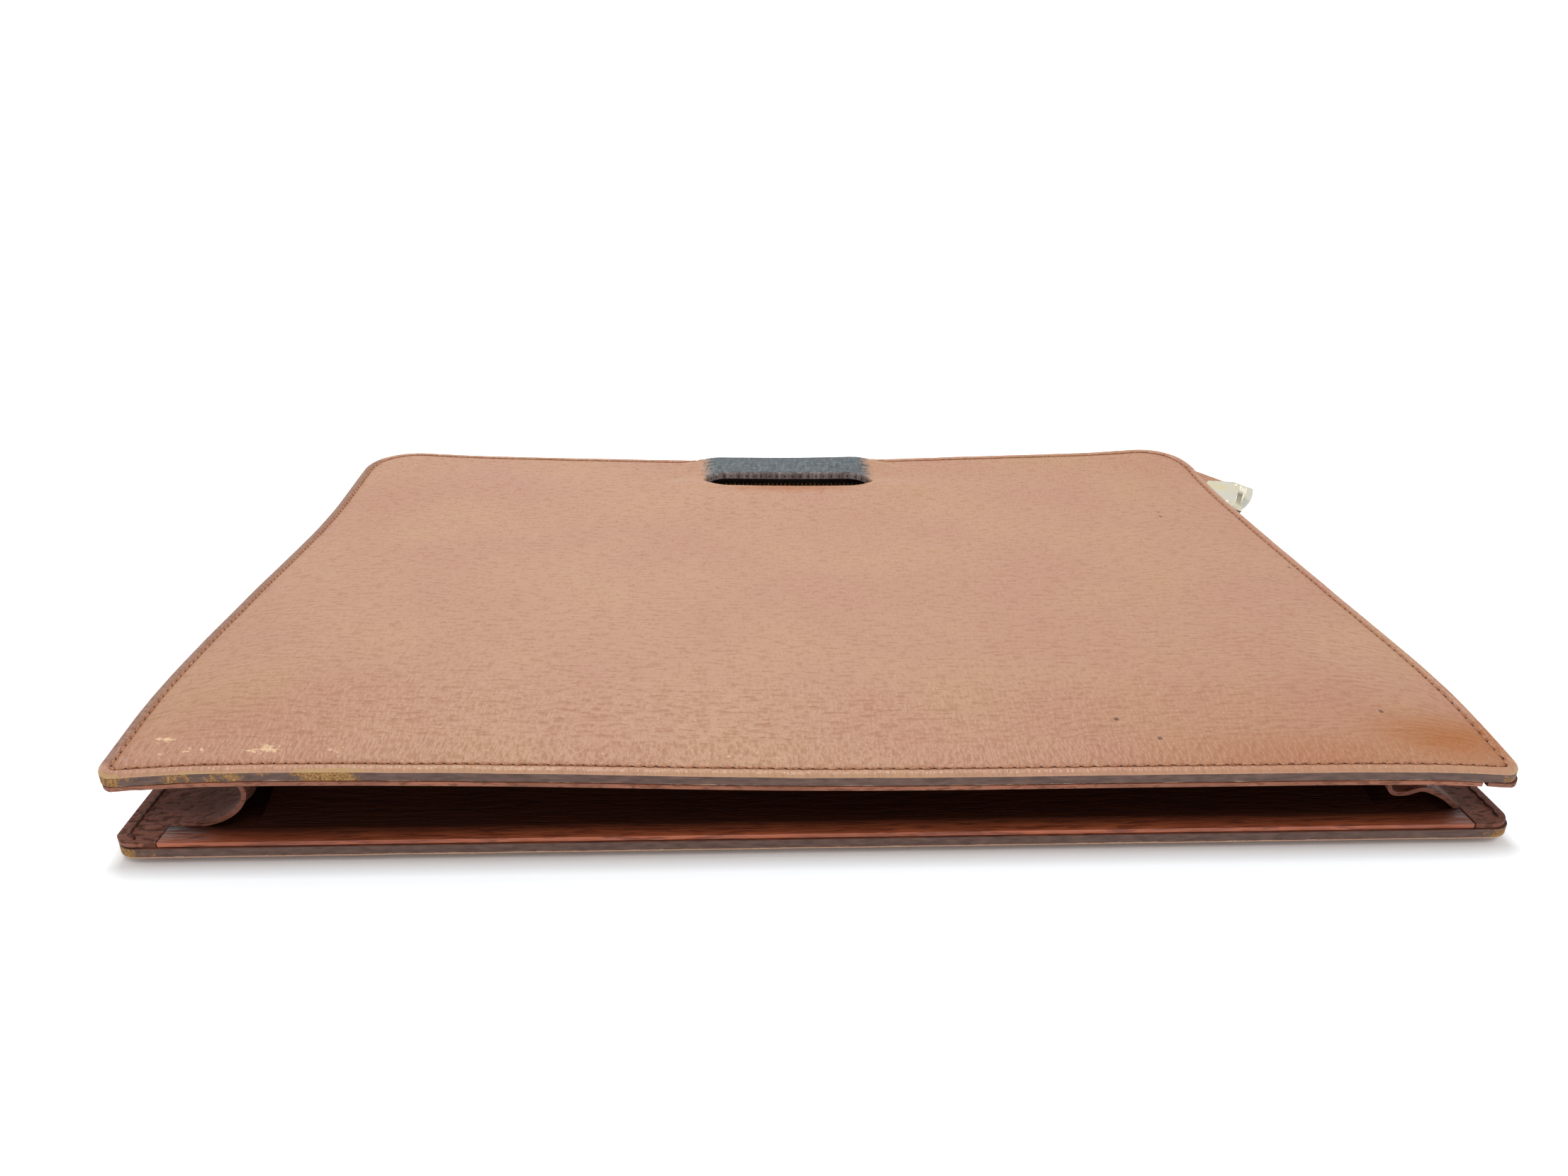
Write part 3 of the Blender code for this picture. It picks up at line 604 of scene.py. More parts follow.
def plain_leather(name, light, dark, ridge_mm, stretch, roughness, strength, shine, deep=0.0):
    """Leather with a long crease grain between a light and a dark colour, stretched along one way."""
    material, tree, shader = new_material(name, Specular_IOR_Level=shine)
    place = own_place(tree)
    grain = spots(tree, stretched(tree, place, stretch), ridge_mm, 3.0, 0.55, 0.3)
    crease = ranged(tree, grain, 0.52, 0.38, 0.0, 0.8)
    clouds = ranged(tree, spots(tree, place, 25, 3.0), 0.6, 0.4, 0.0, 0.5)
    shade = worked_out(tree, "MAXIMUM", crease, clouds)
    colour = mixed_colour(tree, shade, light, dark)
    # painted shade: further in from the near edge, inside the fold, the leather is drawn darker
    depth = add_node(tree, "ShaderNodeSeparateXYZ", {0: place}).outputs["Y"]
    painted_shade_share = ranged(tree, depth, INNER_SHADE_START - HEIGHT / 2, INNER_SHADE_FULL - HEIGHT / 2, 0.0, deep)
    colour = mixed_colour(tree, painted_shade_share, colour, "1C0C08")
    tree.links.new(colour, shader.inputs["Base Color"])
    gloss = ranged(tree, shade, 0.0, 1.0, roughness, roughness + 0.2)
    tree.links.new(gloss, shader.inputs["Roughness"])
    add_bump(tree, shader, grain, strength, 1.2)
    return material


def waxed_thread(name, light, dark):
    """Waxed linen thread, two plies twisted, with a dull shine."""
    material, tree, shader = new_material(name, Roughness=0.55, Specular_IOR_Level=0.15)
    plies = spots(tree, own_place(tree), 0.7, 3.0)
    colour = mixed_colour(tree, ranged(tree, plies, 0.35, 0.65), dark, light)
    tree.links.new(colour, shader.inputs["Base Color"])
    add_bump(tree, shader, plies, 0.3, 0.2)
    return material


def awl_hole():
    """The shade inside a pricked hole."""
    material, tree, shader = new_material("awl_hole_shade", Roughness=0.9, Specular_IOR_Level=0.1)
    colour = mixed_colour(tree, spots(tree, own_place(tree), 0.5), "2A150D", "5E3826")
    tree.links.new(colour, shader.inputs["Base Color"])
    return material


def woven_tape():
    """Woven cotton zip tape: fine ribs crossed by rows, matt."""
    material, tree, shader = new_material("woven_zip_tape", Roughness=0.85)
    inputs = {"Vector": own_place(tree), "Scale": WAVE_LENGTH / RIB_PITCH, "Distortion": 0.6}
    ribs, rows = (
        add_node(tree, "ShaderNodeTexWave", inputs, bands_direction=way).outputs["Fac"] for way in ("X", "Z")
    )
    weave = worked_out(tree, "MULTIPLY", ribs, rows)
    colour = mixed_colour(tree, weave, "120F0E", "2E2927")
    tree.links.new(colour, shader.inputs["Base Color"])
    add_bump(tree, shader, weave, 0.5, 0.2)
    return material


def aged_metal(name, bright, tarnish, roughness, patch_mm):
    """Plated metal with tarnish in soft patches and fine rubbed scratches."""
    material, tree, shader = new_material(name, Metallic=1.0)
    place = own_place(tree)
    patch = spots(tree, place, patch_mm, 4.0, 0.6)
    colour = mixed_colour(tree, ranged(tree, patch, 0.38, 0.66), bright, tarnish)
    tree.links.new(colour, shader.inputs["Base Color"])
    gloss = ranged(tree, patch, 0.3, 0.7, roughness, roughness + 0.18)
    tree.links.new(gloss, shader.inputs["Roughness"])
    scratches = spots(tree, stretched(tree, place, (0.1, 1, 1), 0.6), 0.5)
    add_bump(tree, shader, scratches, 0.12, 0.1)
    return material


CALF = boarded_calf()
EDGE = painted_edge()
LINING = plain_leather("lining_calf", "5A3020", "2E1810", 1.5, (0.2, 1.0, 1.0), 0.5, 0.4, 0.2)
SIDE_CALF = plain_leather("side_gusset_calf", "8A5848", "482A20", 1.5, (0.45, 1.0, 1.0), 0.45, 1.0, 0.1)
# its last value is the share of painted shade deep inside the bottom fold
BOTTOM_CALF = plain_leather(
    "bottom_gusset_calf", "A65838", "6A301C", 1.6, (0.15, 1.0, 1.0), 0.3, 0.5, 0.5, 0.92,
)
CUT_LEATHER = plain_leather("cut_leather_edge", "96604A", "603A2A", 1.0, (0.3, 0.3, 1.0), 0.5, 0.4, 0.2)
THREAD_TAN = waxed_thread("waxed_thread_tan", "BE8A68", "8A583E")
THREAD_DARK = waxed_thread("waxed_thread_dark", "5E3A2C", "38201A")
HOLE = awl_hole()
TAPE_BLACK = woven_tape()
BRASS = aged_metal("aged_brass", "8E6E38", "4A3820", 0.32, 3.0)
NICKEL = aged_metal("worn_nickel_plate", "EFEEE8", "E2D8B4", 0.36, 9.0)


def finished(name, bm, materials, replaced=(), smooth_below=40):
    """An object made of the bmesh, riding on the bag, with the nodes it stands for hidden."""
    mesh = bpy.data.meshes.new(name)
    bm.to_mesh(mesh)
    bm.free()
    for material in materials:
        mesh.materials.append(material)
    mesh.shade_smooth()
    mesh.set_sharp_from_angle(angle=math.radians(smooth_below))
    piece = bpy.data.objects.new(name, mesh)
    bpy.context.collection.objects.link(piece)
    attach(piece, "root")
    if replaced:
        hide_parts(*replaced)
    return piece


def risen(bm, faces, vector):
    """Extrudes faces and moves what rose. Returns its vertices."""
    made = bmesh.ops.extrude_face_region(bm, geom=faces)["geom"]
    verts = [item for item in made if isinstance(item, bmesh.types.BMVert)]
    bmesh.ops.translate(bm, verts=verts, vec=vector)
    return verts


def outline_points(inset=0.0, steps=10):
    """The panels' outline, anticlockwise from the bottom right corner."""
    points = []
    for corner, (side, end, radius) in enumerate((
        (1, -1, BOTTOM_CORNER), (1, 1, TOP_CORNER), (-1, 1, TOP_CORNER), (-1, -1, BOTTOM_CORNER),
    )):
        centre = Vector((side * (WIDTH / 2 - radius), end * (HEIGHT / 2 - radius), 0))
        for step in range(steps + 1):
            angle = math.radians(90) * (corner - 1 + step / steps)
            points.append(centre + (radius - inset) * Vector((math.cos(angle), math.sin(angle), 0)))
    return points


def slot_points(grown=0.0, steps=18):
    """The hand slot's outline: straight sides and round ends."""
    radius = SLOT_WIDTH / 2 + grown
    points = []
    for side in (1, -1):
        for step in range(steps + 1):
            angle = math.radians(180 * step / steps - 90 * side)
            reach = side * (SLOT_LENGTH - SLOT_WIDTH) / 2 + radius * math.cos(angle)
            points.append(Vector((reach, SLOT_MIDDLE + radius * math.sin(angle), 0)))
    return points


def ring_band(bm, points, widths):
    """Rings inside an outline, open in their middle. Returns the outer edges and the middle's edges."""
    known = set(bm.edges)
    face = bm.faces.new([bm.verts.new(point) for point in points])
    face.normal_update()
    for width in widths:
        bmesh.ops.inset_region(
            bm, faces=[face], thickness=width * MM, use_even_offset=True, use_boundary=True,
        )
    middle = list(face.edges)
    outer = [edge for edge in bm.edges if edge not in known and edge.is_boundary]
    bmesh.ops.delete(bm, geom=[face], context="FACES_ONLY")
    return outer, middle


def panel_blank():
    """A panel drawn flat, one unit thick: rings along its outline and slot, with cells between."""
    bm = bmesh.new()
    _, edges = ring_band(bm, outline_points(), RIM_RINGS)
    round_slot, _ = ring_band(bm, slot_points(sum(SLOT_RINGS) * MM), SLOT_RINGS[::-1])
    edges += round_slot
    bmesh.ops.triangle_fill(bm, use_beauty=True, edges=edges, normal=(0, 0, 1))
    for axis, reach in ((0, WIDTH), (1, HEIGHT)):
        count = round(reach / CELL)
        for index in range(1, count):
            point, normal = Vector(), Vector()
            point[axis], normal[axis] = reach * (index / count - 0.5) + CELL_SHIFT, 1
            geometry = bm.verts[:] + bm.edges[:] + bm.faces[:]
            bmesh.ops.bisect_plane(bm, geom=geometry, dist=CELL_SNAP, plane_co=point, plane_no=normal)
    risen(bm, bm.faces[:], (0, 0, 1))
    for level in WALL_LEVELS:
        geometry = bm.verts[:] + bm.edges[:] + bm.faces[:]
        bmesh.ops.bisect_plane(
            bm, geom=geometry, dist=LEVEL_SNAP, plane_co=(0, 0, level), plane_no=(0, 0, 1),
        )
    bmesh.ops.recalc_face_normals(bm, faces=bm.faces)
    return bm


def skin_relief(x, y, bow):
    """How far a panel's outer skin stands off its plain face, along its edges and by its bow."""
    edge, slot = edge_distance(x, y), slot_distance(x, y)
    side = strip(WIDTH / 2 - abs(x), STANDING_SIDES)
    relief = sum(
        (rise + more * side) * MM * hump((edge / MM - middle) / reach)
        for rise, more, middle, reach in EDGE_RELIEF
    )
    relief += WAVER * noise.noise(Vector((x, y, 0)) * WAVER_RATE)
    far_side = ease((y - SLOT_MIDDLE) / (SLOT_WIDTH / 4))
    slot_arris = ARRIS + (GRIP_ARRIS - ARRIS) * far_side
    return relief - rounding(edge, ARRIS) - rounding(slot, slot_arris) + bow(x, y)


def skin_marks(x, y, share, worn_places):
    """What the leather's materials read at a point of a panel, with its share of the thickness."""
    edge, slot = edge_distance(x, y), slot_distance(x, y)
    from_side = WIDTH / 2 - abs(x)
    front = worn_places is WORN_EDGES
    near_edge = strip(y + HEIGHT / 2, NEAR_STRIP)
    side = strip(from_side, SIDE_STRIP) * (1 - near_edge)
    stain = ease((STAIN_HALF + STAIN_FADE / 2 - abs(x)) / STAIN_FADE)
    stain *= ease((y - SLOT_MIDDLE - STAIN_NEAR) / STAIN_NEAR_FADE)
    wrap = WRAP_SHADE * side * ease(-x * WRAP_GROWTH) * strip(edge, WRAP_STRIP)
    arris = ARRIS_SHADE * (1 - near_edge) * strip(edge, ARRIS_STRIP)
    return {
        "edge_mm": edge / MM,
        "pull_mm": PULL_MM * strip(from_side, PULLED_SIDES) ** 2,
        "scuff": patches(SCUFFS, x, y) if front else 0.0,
        "worn": patches(worn_places, x, y) * strip(edge, WORN_STRIP),
        "burnish_and_highlight": patches(BURNISH_AND_HIGHLIGHT, x, y) if front else 0.0,
        "stain": stain,
        "rubbed": stain * strip(slot, RUBBED_STRIP),
        "pale_rim": near_edge * strip(edge, PALE_STRIP),
        "dark_rim": max(wrap, arris),
        "rise": share,
    }


def add_panel(name, node, blank, underside, bow, skin_side, worn_places):
    """A panel with its skin on one side, its lining on the other and its painted edge between."""
    bm = blank.copy()
    for face in bm.faces:
        middle = face.calc_center_median()
        outer = middle.z if skin_side > 0 else 1 - middle.z
        wall = FACE_SHARE < outer < 1 - FACE_SHARE
        at_slot = slot_distance(middle.x, middle.y) < SLOT_WALL
        face.material_index = 2 if outer <= FACE_SHARE else 1 if wall and not at_slot else 0
    layers = {mark: bm.verts.layers.float.new(mark) for mark in skin_marks(0.0, 0.0, 1.0, worn_places)}
    for vert in bm.verts:
        x, y, share = vert.co
        outer = share if skin_side > 0 else 1 - share
        for mark, value in skin_marks(x, y, share, worn_places).items():
            vert[layers[mark]] = value
        relief = skin_side * skin_relief(x, y, bow)
        rim = min(edge_distance(x, y), slot_distance(x, y))
        inner_relief = skin_side * (rounding(rim, INNER_ARRIS) + inner_bow(x, y, bow))
        vert.co.z = underside(x, y) + PANEL * share + outer * relief + (1 - outer) * inner_relief
        if skin_side > 0:
            vert.co += FRONT_SHIFT
    return finished(name, bm, (CALF, EDGE, LINING), (node,))


def seam_places(points, closed=True):
    """Places a stitch apart on a line, closer to the left: each with its way on and its pitch's share."""
    ends = points[1:] + points[:1] if closed else points[1:]
    places, run = [], 0.0
    for start, end in zip(points, ends):
        span = (end - start).length
        way = (end - start) / span
        while run < span:
            place = start + way * run
            pitch = SEAM_PITCH_LEFT + (SEAM_PITCH - SEAM_PITCH_LEFT) * ease(0.9 + 3 * place.x / WIDTH)
            places.append((place, way, pitch / SEAM_PITCH))
            run += pitch
        run -= span
    return places


def bead_mesh(index):
    """A round bead one unit long, its poles on its first axis, with a material's place in the list."""
    bm = bmesh.new()
    bmesh.ops.create_uvsphere(bm, u_segments=6, v_segments=6, radius=0.5, matrix=UPRIGHT)
    for face in bm.faces:
        face.material_index = index
    mesh = bpy.data.meshes.new("bead")
    bm.to_mesh(mesh)
    bm.free()
    return mesh


def set_in(bm, mesh, place, axes, sizes):
    """Adds a copy of a small mesh to the bmesh, turned and sized along three axes."""
    matrix = Matrix([axis * size for axis, size in zip(axes, sizes)]).transposed().to_4x4()
    part = mesh.copy()
    part.transform(Matrix.Translation(place) @ matrix)
    bm.from_mesh(part)
    bpy.data.meshes.remove(part)


def add_seam(name, places, surface, thread, facing=1):
    """Slanted stitches in the seam's groove, with an awl hole between each two."""
    bm = bmesh.new()
    stitch, hole_shade = bead_mesh(0), bead_mesh(1)
    up = Vector((0, 0, facing))
    for place, way, share in places:
        length = STITCH * share
        wobble = noise.noise(place * WOBBLE_RATE)
        slant = math.radians(STITCH_SLANT * (1 + STITCH_SLANT_CHANGE * wobble))
        stitch_way = Matrix.Rotation(slant, 3, "Z") @ way
        rise = surface(*(place + way * length / 2).xy) - surface(*(place - way * length / 2).xy)
        stitch_way = (stitch_way + Vector((0, 0, rise / length))).normalized()
        height = surface(place.x, place.y) + facing * (THREAD * THREAD_OUT + THREAD_WOBBLE * wobble)
        centre = Vector((place.x, place.y, height))
        axes = (stitch_way, up.cross(stitch_way), up)
        set_in(bm, stitch, centre, axes, (length, THREAD, THREAD * THREAD_FLAT))
        hole = place + way * length * AWL_FROM_STITCH
        hole_way = Matrix.Rotation(math.radians(AWL_SLANT), 3, "Z") @ way
        hole.z = surface(hole.x, hole.y) + facing * AWL_RIM
        set_in(bm, hole_shade, hole, (hole_way, up.cross(hole_way), up), AWL_HOLE)
    bpy.data.meshes.remove(stitch)
    bpy.data.meshes.remove(hole_shade)
    return finished(name, bm, (thread, HOLE))


def front_skin(x, y):
    """Height of the front panel's skin, where the shifted panel has it."""
    x, y = x - FRONT_SHIFT.x, y - FRONT_SHIFT.y
    return front_underside(x, y) + PANEL + skin_relief(x, y, front_bow)


def back_skin(x, y):
    """Height of the back panel's skin."""
    return back_underside(x, y) - skin_relief(x, y, back_bow)


def back_flange(x, y):
    """Height of the upper face of a gusset's leaf on the back panel."""
    return between_panels(x, y, GUSSET)[0] + GUSSET / 2


def panels():
    """Both panels with their seams and the grip's row of lip holes."""
    blank = panel_blank()
    add_panel("front_panel_leather", "front_panel", blank, front_underside, front_bow, 1, WORN_EDGES)
    add_panel("back_panel_leather", "back_panel", blank, back_underside, back_bow, -1, WORN_BACK)
    blank.free()
    line = outline_points(SEAM_INSET)
    shifted = [point + FRONT_SHIFT for point in line]
    add_seam("front_seam", seam_places(shifted), front_skin, THREAD_TAN)
    add_seam("back_seam", seam_places(line), back_skin, THREAD_TAN, -1)
    top = HEIGHT / 2 - RIGHT_TOP_GAP - LEAF_SEAM_STRIP
    for side, word in ((-1, "left"), (1, "right")):
        places = [
            stitch for stitch in seam_places(line)
            if side * stitch[0].x > WIDTH / 2 - LEAF_SEAM_STRIP and stitch[0].y < top
        ]
        add_seam(f"side_leaf_seam_{word}", places, back_flange, THREAD_DARK)
    lip_holes()


def lip_holes():
    """The row of needle holes in the grip's lip, along the slot's far wall."""
    bm = bmesh.new()
    # each hole is a small dark bead: painted shade for the hole's depth
    hole = bead_mesh(0)
    up = Vector((0, 0, 1))
    line = [point + FRONT_SHIFT for point in slot_points() if point.y > SLOT_MIDDLE + LIP_HOLES_FROM]
    line.sort(key=lambda point: point.x)
    for place, way, _ in seam_places(line, closed=False):
        x, y = place.x - FRONT_SHIFT.x, place.y - FRONT_SHIFT.y
        low = front_underside(x, y) + inner_bow(x, y, front_bow)
        high = front_underside(x, y) + PANEL + front_bow(x, y) - GRIP_ARRIS
        place.z = low + (high - low) * LIP_HOLE_HEIGHT
        place.y -= LIP_HOLE_RIM
        set_in(bm, hole, place, (up, way, up.cross(way)), LIP_HOLE)
    bpy.data.meshes.remove(hole)
    finished("grip_lip_holes", bm, (HOLE,))


# gussets
def box_cut(low, high):
    """A box that a Boolean cuts with."""
    bm = bmesh.new()
    bmesh.ops.create_cube(bm, size=1)
    bmesh.ops.scale(bm, vec=Vector(high) - Vector(low), verts=bm.verts)
    bmesh.ops.translate(bm, vec=(Vector(low) + Vector(high)) / 2, verts=bm.verts)
    return cutter(bm)


def cutter(bm):
    """A cutting object made of the bmesh."""
    mesh = bpy.data.meshes.new("cutter")
    bm.to_mesh(mesh)
    bm.free()
    item = bpy.data.objects.new("cutter", mesh)
    bpy.context.collection.objects.link(item)
    return item


def outline_guide():
    """The panels' outline as a tall leaning block, which trims the gussets' leaves."""
    bm = bmesh.new()
    face = bm.faces.new([bm.verts.new(point) for point in outline_points(GUIDE_INSET)])
    bmesh.ops.translate(bm, verts=bm.verts, vec=(0, 0, -RIM_HEIGHT))
    risen(bm, [face], Vector((0, 0, 3 * RIM_HEIGHT)) + FRONT_SHIFT)
    bmesh.ops.recalc_face_normals(bm, faces=bm.faces)
    return cutter(bm)


def shaped(piece, cuts, round_edge=0.0):
    """Cuts a piece, rounds its cut edges and fixes its shape."""
    for item, operation in cuts:
        modifier = piece.modifiers.new("cut", "BOOLEAN")
        modifier.operation = operation
        modifier.object = item
    if round_edge:
        modifier = piece.modifiers.new("round", "BEVEL")
        modifier.width = round_edge
        modifier.segments = 3
        modifier.limit_method = "ANGLE"
        modifier.angle_limit = math.radians(50)
        modifier.harden_normals = False
    depsgraph = bpy.context.evaluated_depsgraph_get()
    mesh = bpy.data.meshes.new_from_object(piece.evaluated_get(depsgraph))
    piece.modifiers.clear()
    piece.data = mesh
    return piece


def add_sheet(name, node, grid, place, thickness, materials):
    """A bent strip: a grid whose shares along and across are placed by a function, made thick."""
    bm = bmesh.new()
    bmesh.ops.create_grid(bm, x_segments=grid[0], y_segments=grid[1], size=0.5)
    for vert in bm.verts:
        vert.co = leaned(place(vert.co.x + 0.5, vert.co.y + 0.5))
    sheet = finished(name, bm, materials, (node,), 60)
    modifier = sheet.modifiers.new("thickness", "SOLIDIFY")
    modifier.thickness = thickness
    modifier.offset = 0
    modifier.use_even_offset = True
    modifier.material_offset_rim = 1
    return sheet


def side_gusset(side, fold, top_gap, guide):
    """The gusset folded in along one side, with its corner tabs."""
    word = "left" if side < 0 else "right"
    start, end = -HEIGHT / 2, HEIGHT / 2 - top_gap

    def place(along, across):
        near, plain = section_point(fold, across), section_point(FOLD_PLAIN, across)
        blend = ease(along / NEAR_FOLD)
        deep, high = [(1 - blend) * first + blend * second for first, second in zip(near, plain)]
        depth = SIDE_DEPTH + (SIDE_DEPTH_TOP - SIDE_DEPTH) * ease(along)
        x = side * (WIDTH / 2 - deep * depth)
        y = start + (end - start) * along
        low, top = between_panels(x, y, GUSSET)
        slack = 4 * across * (1 - across) * ease(WRINKLE_GROWTH * along + WRINKLE_START)
        slanted = across * WRINKLE_ACROSS + along * WRINKLE_SLANT
        wrinkle = WRINKLE * slack * noise.noise(Vector((slanted, along * WRINKLE_ALONG, side)))
        return Vector((x + side * wrinkle, y, low + (top - low) * high + wrinkle))

    gusset = add_sheet(
        f"side_gusset_{word}_leather", f"side_gusset_{word}", SIDE_GRID, place, GUSSET,
        (SIDE_CALF, CUT_LEATHER),
    )
    ends = sorted((side * (WIDTH / 2 - CORNER_TAB), side * (WIDTH / 2 - SIDE_DEPTH - FLANGE)))
    low = (ends[0], -HEIGHT / 2 - FLANGE, CUT_LOW)
    cut = box_cut(low, (ends[1], -HEIGHT / 2 + FLANGE + GAP, CUT_HIGH))
    shaped(gusset, ((cut, "DIFFERENCE"), (guide, "INTERSECT")), GUSSET_ROUND)
    bpy.data.objects.remove(cut)


def bottom_gusset(guide):
    """The gusset folded in along the bottom edge."""
    half = WIDTH / 2 - CORNER_TAB - GAP
    fold_half = WIDTH / 2 - SIDE_DEPTH - GUSSET / 2 - 2 * GAP

    def place(along, across):
        deep, high = section_point(FOLD_PLAIN, across)
        x, y = half * (2 * along - 1), -HEIGHT / 2 + deep * BOTTOM_DEPTH
        low, top = between_panels(x, y, GUSSET)
        return Vector((x, y, low + (top - low) * high))

    gusset = add_sheet(
        "bottom_gusset_leather", "bottom_gusset", BOTTOM_GRID, place, GUSSET,
        (BOTTOM_CALF, CUT_LEATHER),
    )
    cuts = []
    for side in (-1, 1):
        ends = sorted((side * fold_half, side * WIDTH / 2))
        low = (ends[0], -HEIGHT / 2 + FLANGE, CUT_LOW)
        cuts.append((box_cut(low, (ends[1], -HEIGHT / 2 + 2 * BOTTOM_DEPTH, CUT_HIGH)), "DIFFERENCE"))
    shaped(gusset, (*cuts, (guide, "INTERSECT")), GUSSET_ROUND)
    for cut, _ in cuts:
        bpy.data.objects.remove(cut)


# zip
def top_edge(run, depth):
    """A point at a depth inside the top edge, a run to the right of its middle, and the way on."""
    straight = WIDTH / 2 - TOP_CORNER
    side = 1 if run > 0 else -1
    turn = max(abs(run) - straight, 0.0) / TOP_CORNER
    outward = Vector((side * math.sin(turn), math.cos(turn), 0))
    centre = Vector((side * min(abs(run), straight), HEIGHT / 2 - TOP_CORNER, 0))
    way = Vector((math.cos(turn), -side * math.sin(turn), 0))
    return centre + (TOP_CORNER - depth) * outward, way


def zip_ends():
    """Where the zip's tapes start and end along the top edge."""
    straight = WIDTH / 2 - TOP_CORNER
    return (
        -straight - TOP_CORNER * math.radians(ZIP_LEFT_TURN),
        straight + TOP_CORNER * math.radians(ZIP_RIGHT_TURN),
    )


def zip_middle(point):
    """The height halfway between the panels."""
    return sum(between_panels(point.x, point.y, TAPE)) / 2


def zip_tapes():
    """Two woven tapes bent from the panels to the teeth between them."""
    start, end = zip_ends()
    for front, word in ((0, "back"), (1, "front")):
        def place(along, across, front=front):
            deep, high = section_point(TAPE_BEND, across)
            point, _ = top_edge(start + (end - start) * along, deep * ZIP_DEPTH)
            panel_side = between_panels(point.x, point.y, TAPE)[front]
            reach = abs(zip_middle(point) - panel_side) - TAPE_CLEAR
            point.z = panel_side + (1 - 2 * front) * high * reach
            return point

        tape = add_sheet(
            f"zip_tape_{word}_woven", f"zip_tape_{word}", TAPE_GRID, place, TAPE,
            (TAPE_BLACK, TAPE_BLACK),
        )
        shaped(tape, ())


def block(sizes, bevel):
    """A small mesh of a box with rounded edges."""
    bm = bmesh.new()
    bmesh.ops.create_cube(bm, size=1)
    bmesh.ops.scale(bm, vec=sizes, verts=bm.verts)
    bmesh.ops.bevel(
        bm, geom=bm.edges, offset=bevel, offset_type="OFFSET", segments=1, profile=0.5,
        affect="EDGES", material=-1,
    )
    mesh = bpy.data.meshes.new("block")
    bm.to_mesh(mesh)
    bm.free()
    return mesh


def zip_teeth():
    """Two rows of metal teeth, locked into each other."""
    start, end = zip_ends()
    last = end - SLIDER_FROM_END - SLIDER_LENGTH - GAP
    bm = bmesh.new()
    count = round((last - start) / (TOOTH_PITCH / 2))
    up = Vector((0, 0, 1))
    tooth = block((TOOTH_LENGTH, TOOTH_DEPTH, TEETH_WIDTH * TOOTH_SHARE), TOOTH_BEVEL)
    run = last - start - 2 * GAP
    for index in range(count):
        point, way = top_edge(start + GAP + run * (index + 0.5) / count, ZIP_DEPTH)
        side = 1 if index % 2 else -1
        point.z = zip_middle(point) + side * TEETH_WIDTH * TOOTH_SHIFT
        set_in(bm, tooth, leaned(point), (way, up.cross(way), up), (1, 1, 1))
    bpy.data.meshes.remove(tooth)
    finished("zip_teeth_rows", bm, (BRASS,), ("zip_teeth",), 30)


def zip_slider():
    """The slider: two shields, a bridge between them and its pull lying along the teeth."""
    point, way = top_edge(zip_ends()[1] - SLIDER_FROM_END - SLIDER_LENGTH / 2, ZIP_DEPTH)
    point.z = zip_middle(point)
    point = leaned(point)
    up = Vector((0, 0, 1))
    outward = up.cross(way)
    axes = (way, outward, up)
    bm = bmesh.new()
    for offset, reach, sizes in SLIDER_BLOCKS:
        mesh = block([size * MM for size in sizes], SLIDER_BEVEL)
        set_in(bm, mesh, point + outward * offset * MM + way * reach * MM, axes, (1, 1, 1))
        bpy.data.meshes.remove(mesh)
    finished("zip_slider_body", bm, (BRASS,), ("zip_slider",), 30)


# tab and lock plate
def tab_frame():
    """Where the tab lies: it leaves the zip's end, drooping and rolled towards the bag."""
    point, way = top_edge(zip_ends()[1], ZIP_DEPTH)
    high = front_underside(point.x, point.y) - TAB_BELOW_FRONT
    clear_root = GAP + TAB_THICK * math.sin(math.radians(TAB_DROOP))
    at = point + way * clear_root + Vector((0, 0, high))
    turns = (math.radians(TAB_ROLL), math.radians(TAB_DROOP), math.atan2(way.y, way.x))
    return Matrix.LocRotScale(at, Euler(turns), None)


def tab_outline(length, width, shoulder, nose):
    """A tab's outline in its own plane: its end bulges a little, its root may narrow to a nose."""
    half = width / 2
    end = [
        Vector((length - PLATE_BULGE * (2 * share) ** 2, width * share, 0))
        for share in [step / 10 - 0.5 for step in range(11)]
    ]
    root, full = shoulder
    corners = ((full, half), (root, nose / 2), (root, -nose / 2), (full, -half))
    return end + [Vector((*corner, 0)) for corner in corners]


def slab(points, low, high):
    """A flat outline as a closed block between two heights."""
    bm = bmesh.new()
    face = bm.faces.new([bm.verts.new(point) for point in points])
    bmesh.ops.translate(bm, verts=bm.verts, vec=(0, 0, low))
    risen(bm, [face], (0, 0, high - low))
    bmesh.ops.recalc_face_normals(bm, faces=bm.faces)
    return bm


def set_on_tab(piece):
    """Moves a piece's mesh from the tab's own frame to the bag's."""
    piece.data.transform(tab_frame())
    for vert in piece.data.vertices:
        vert.co = leaned(vert.co)


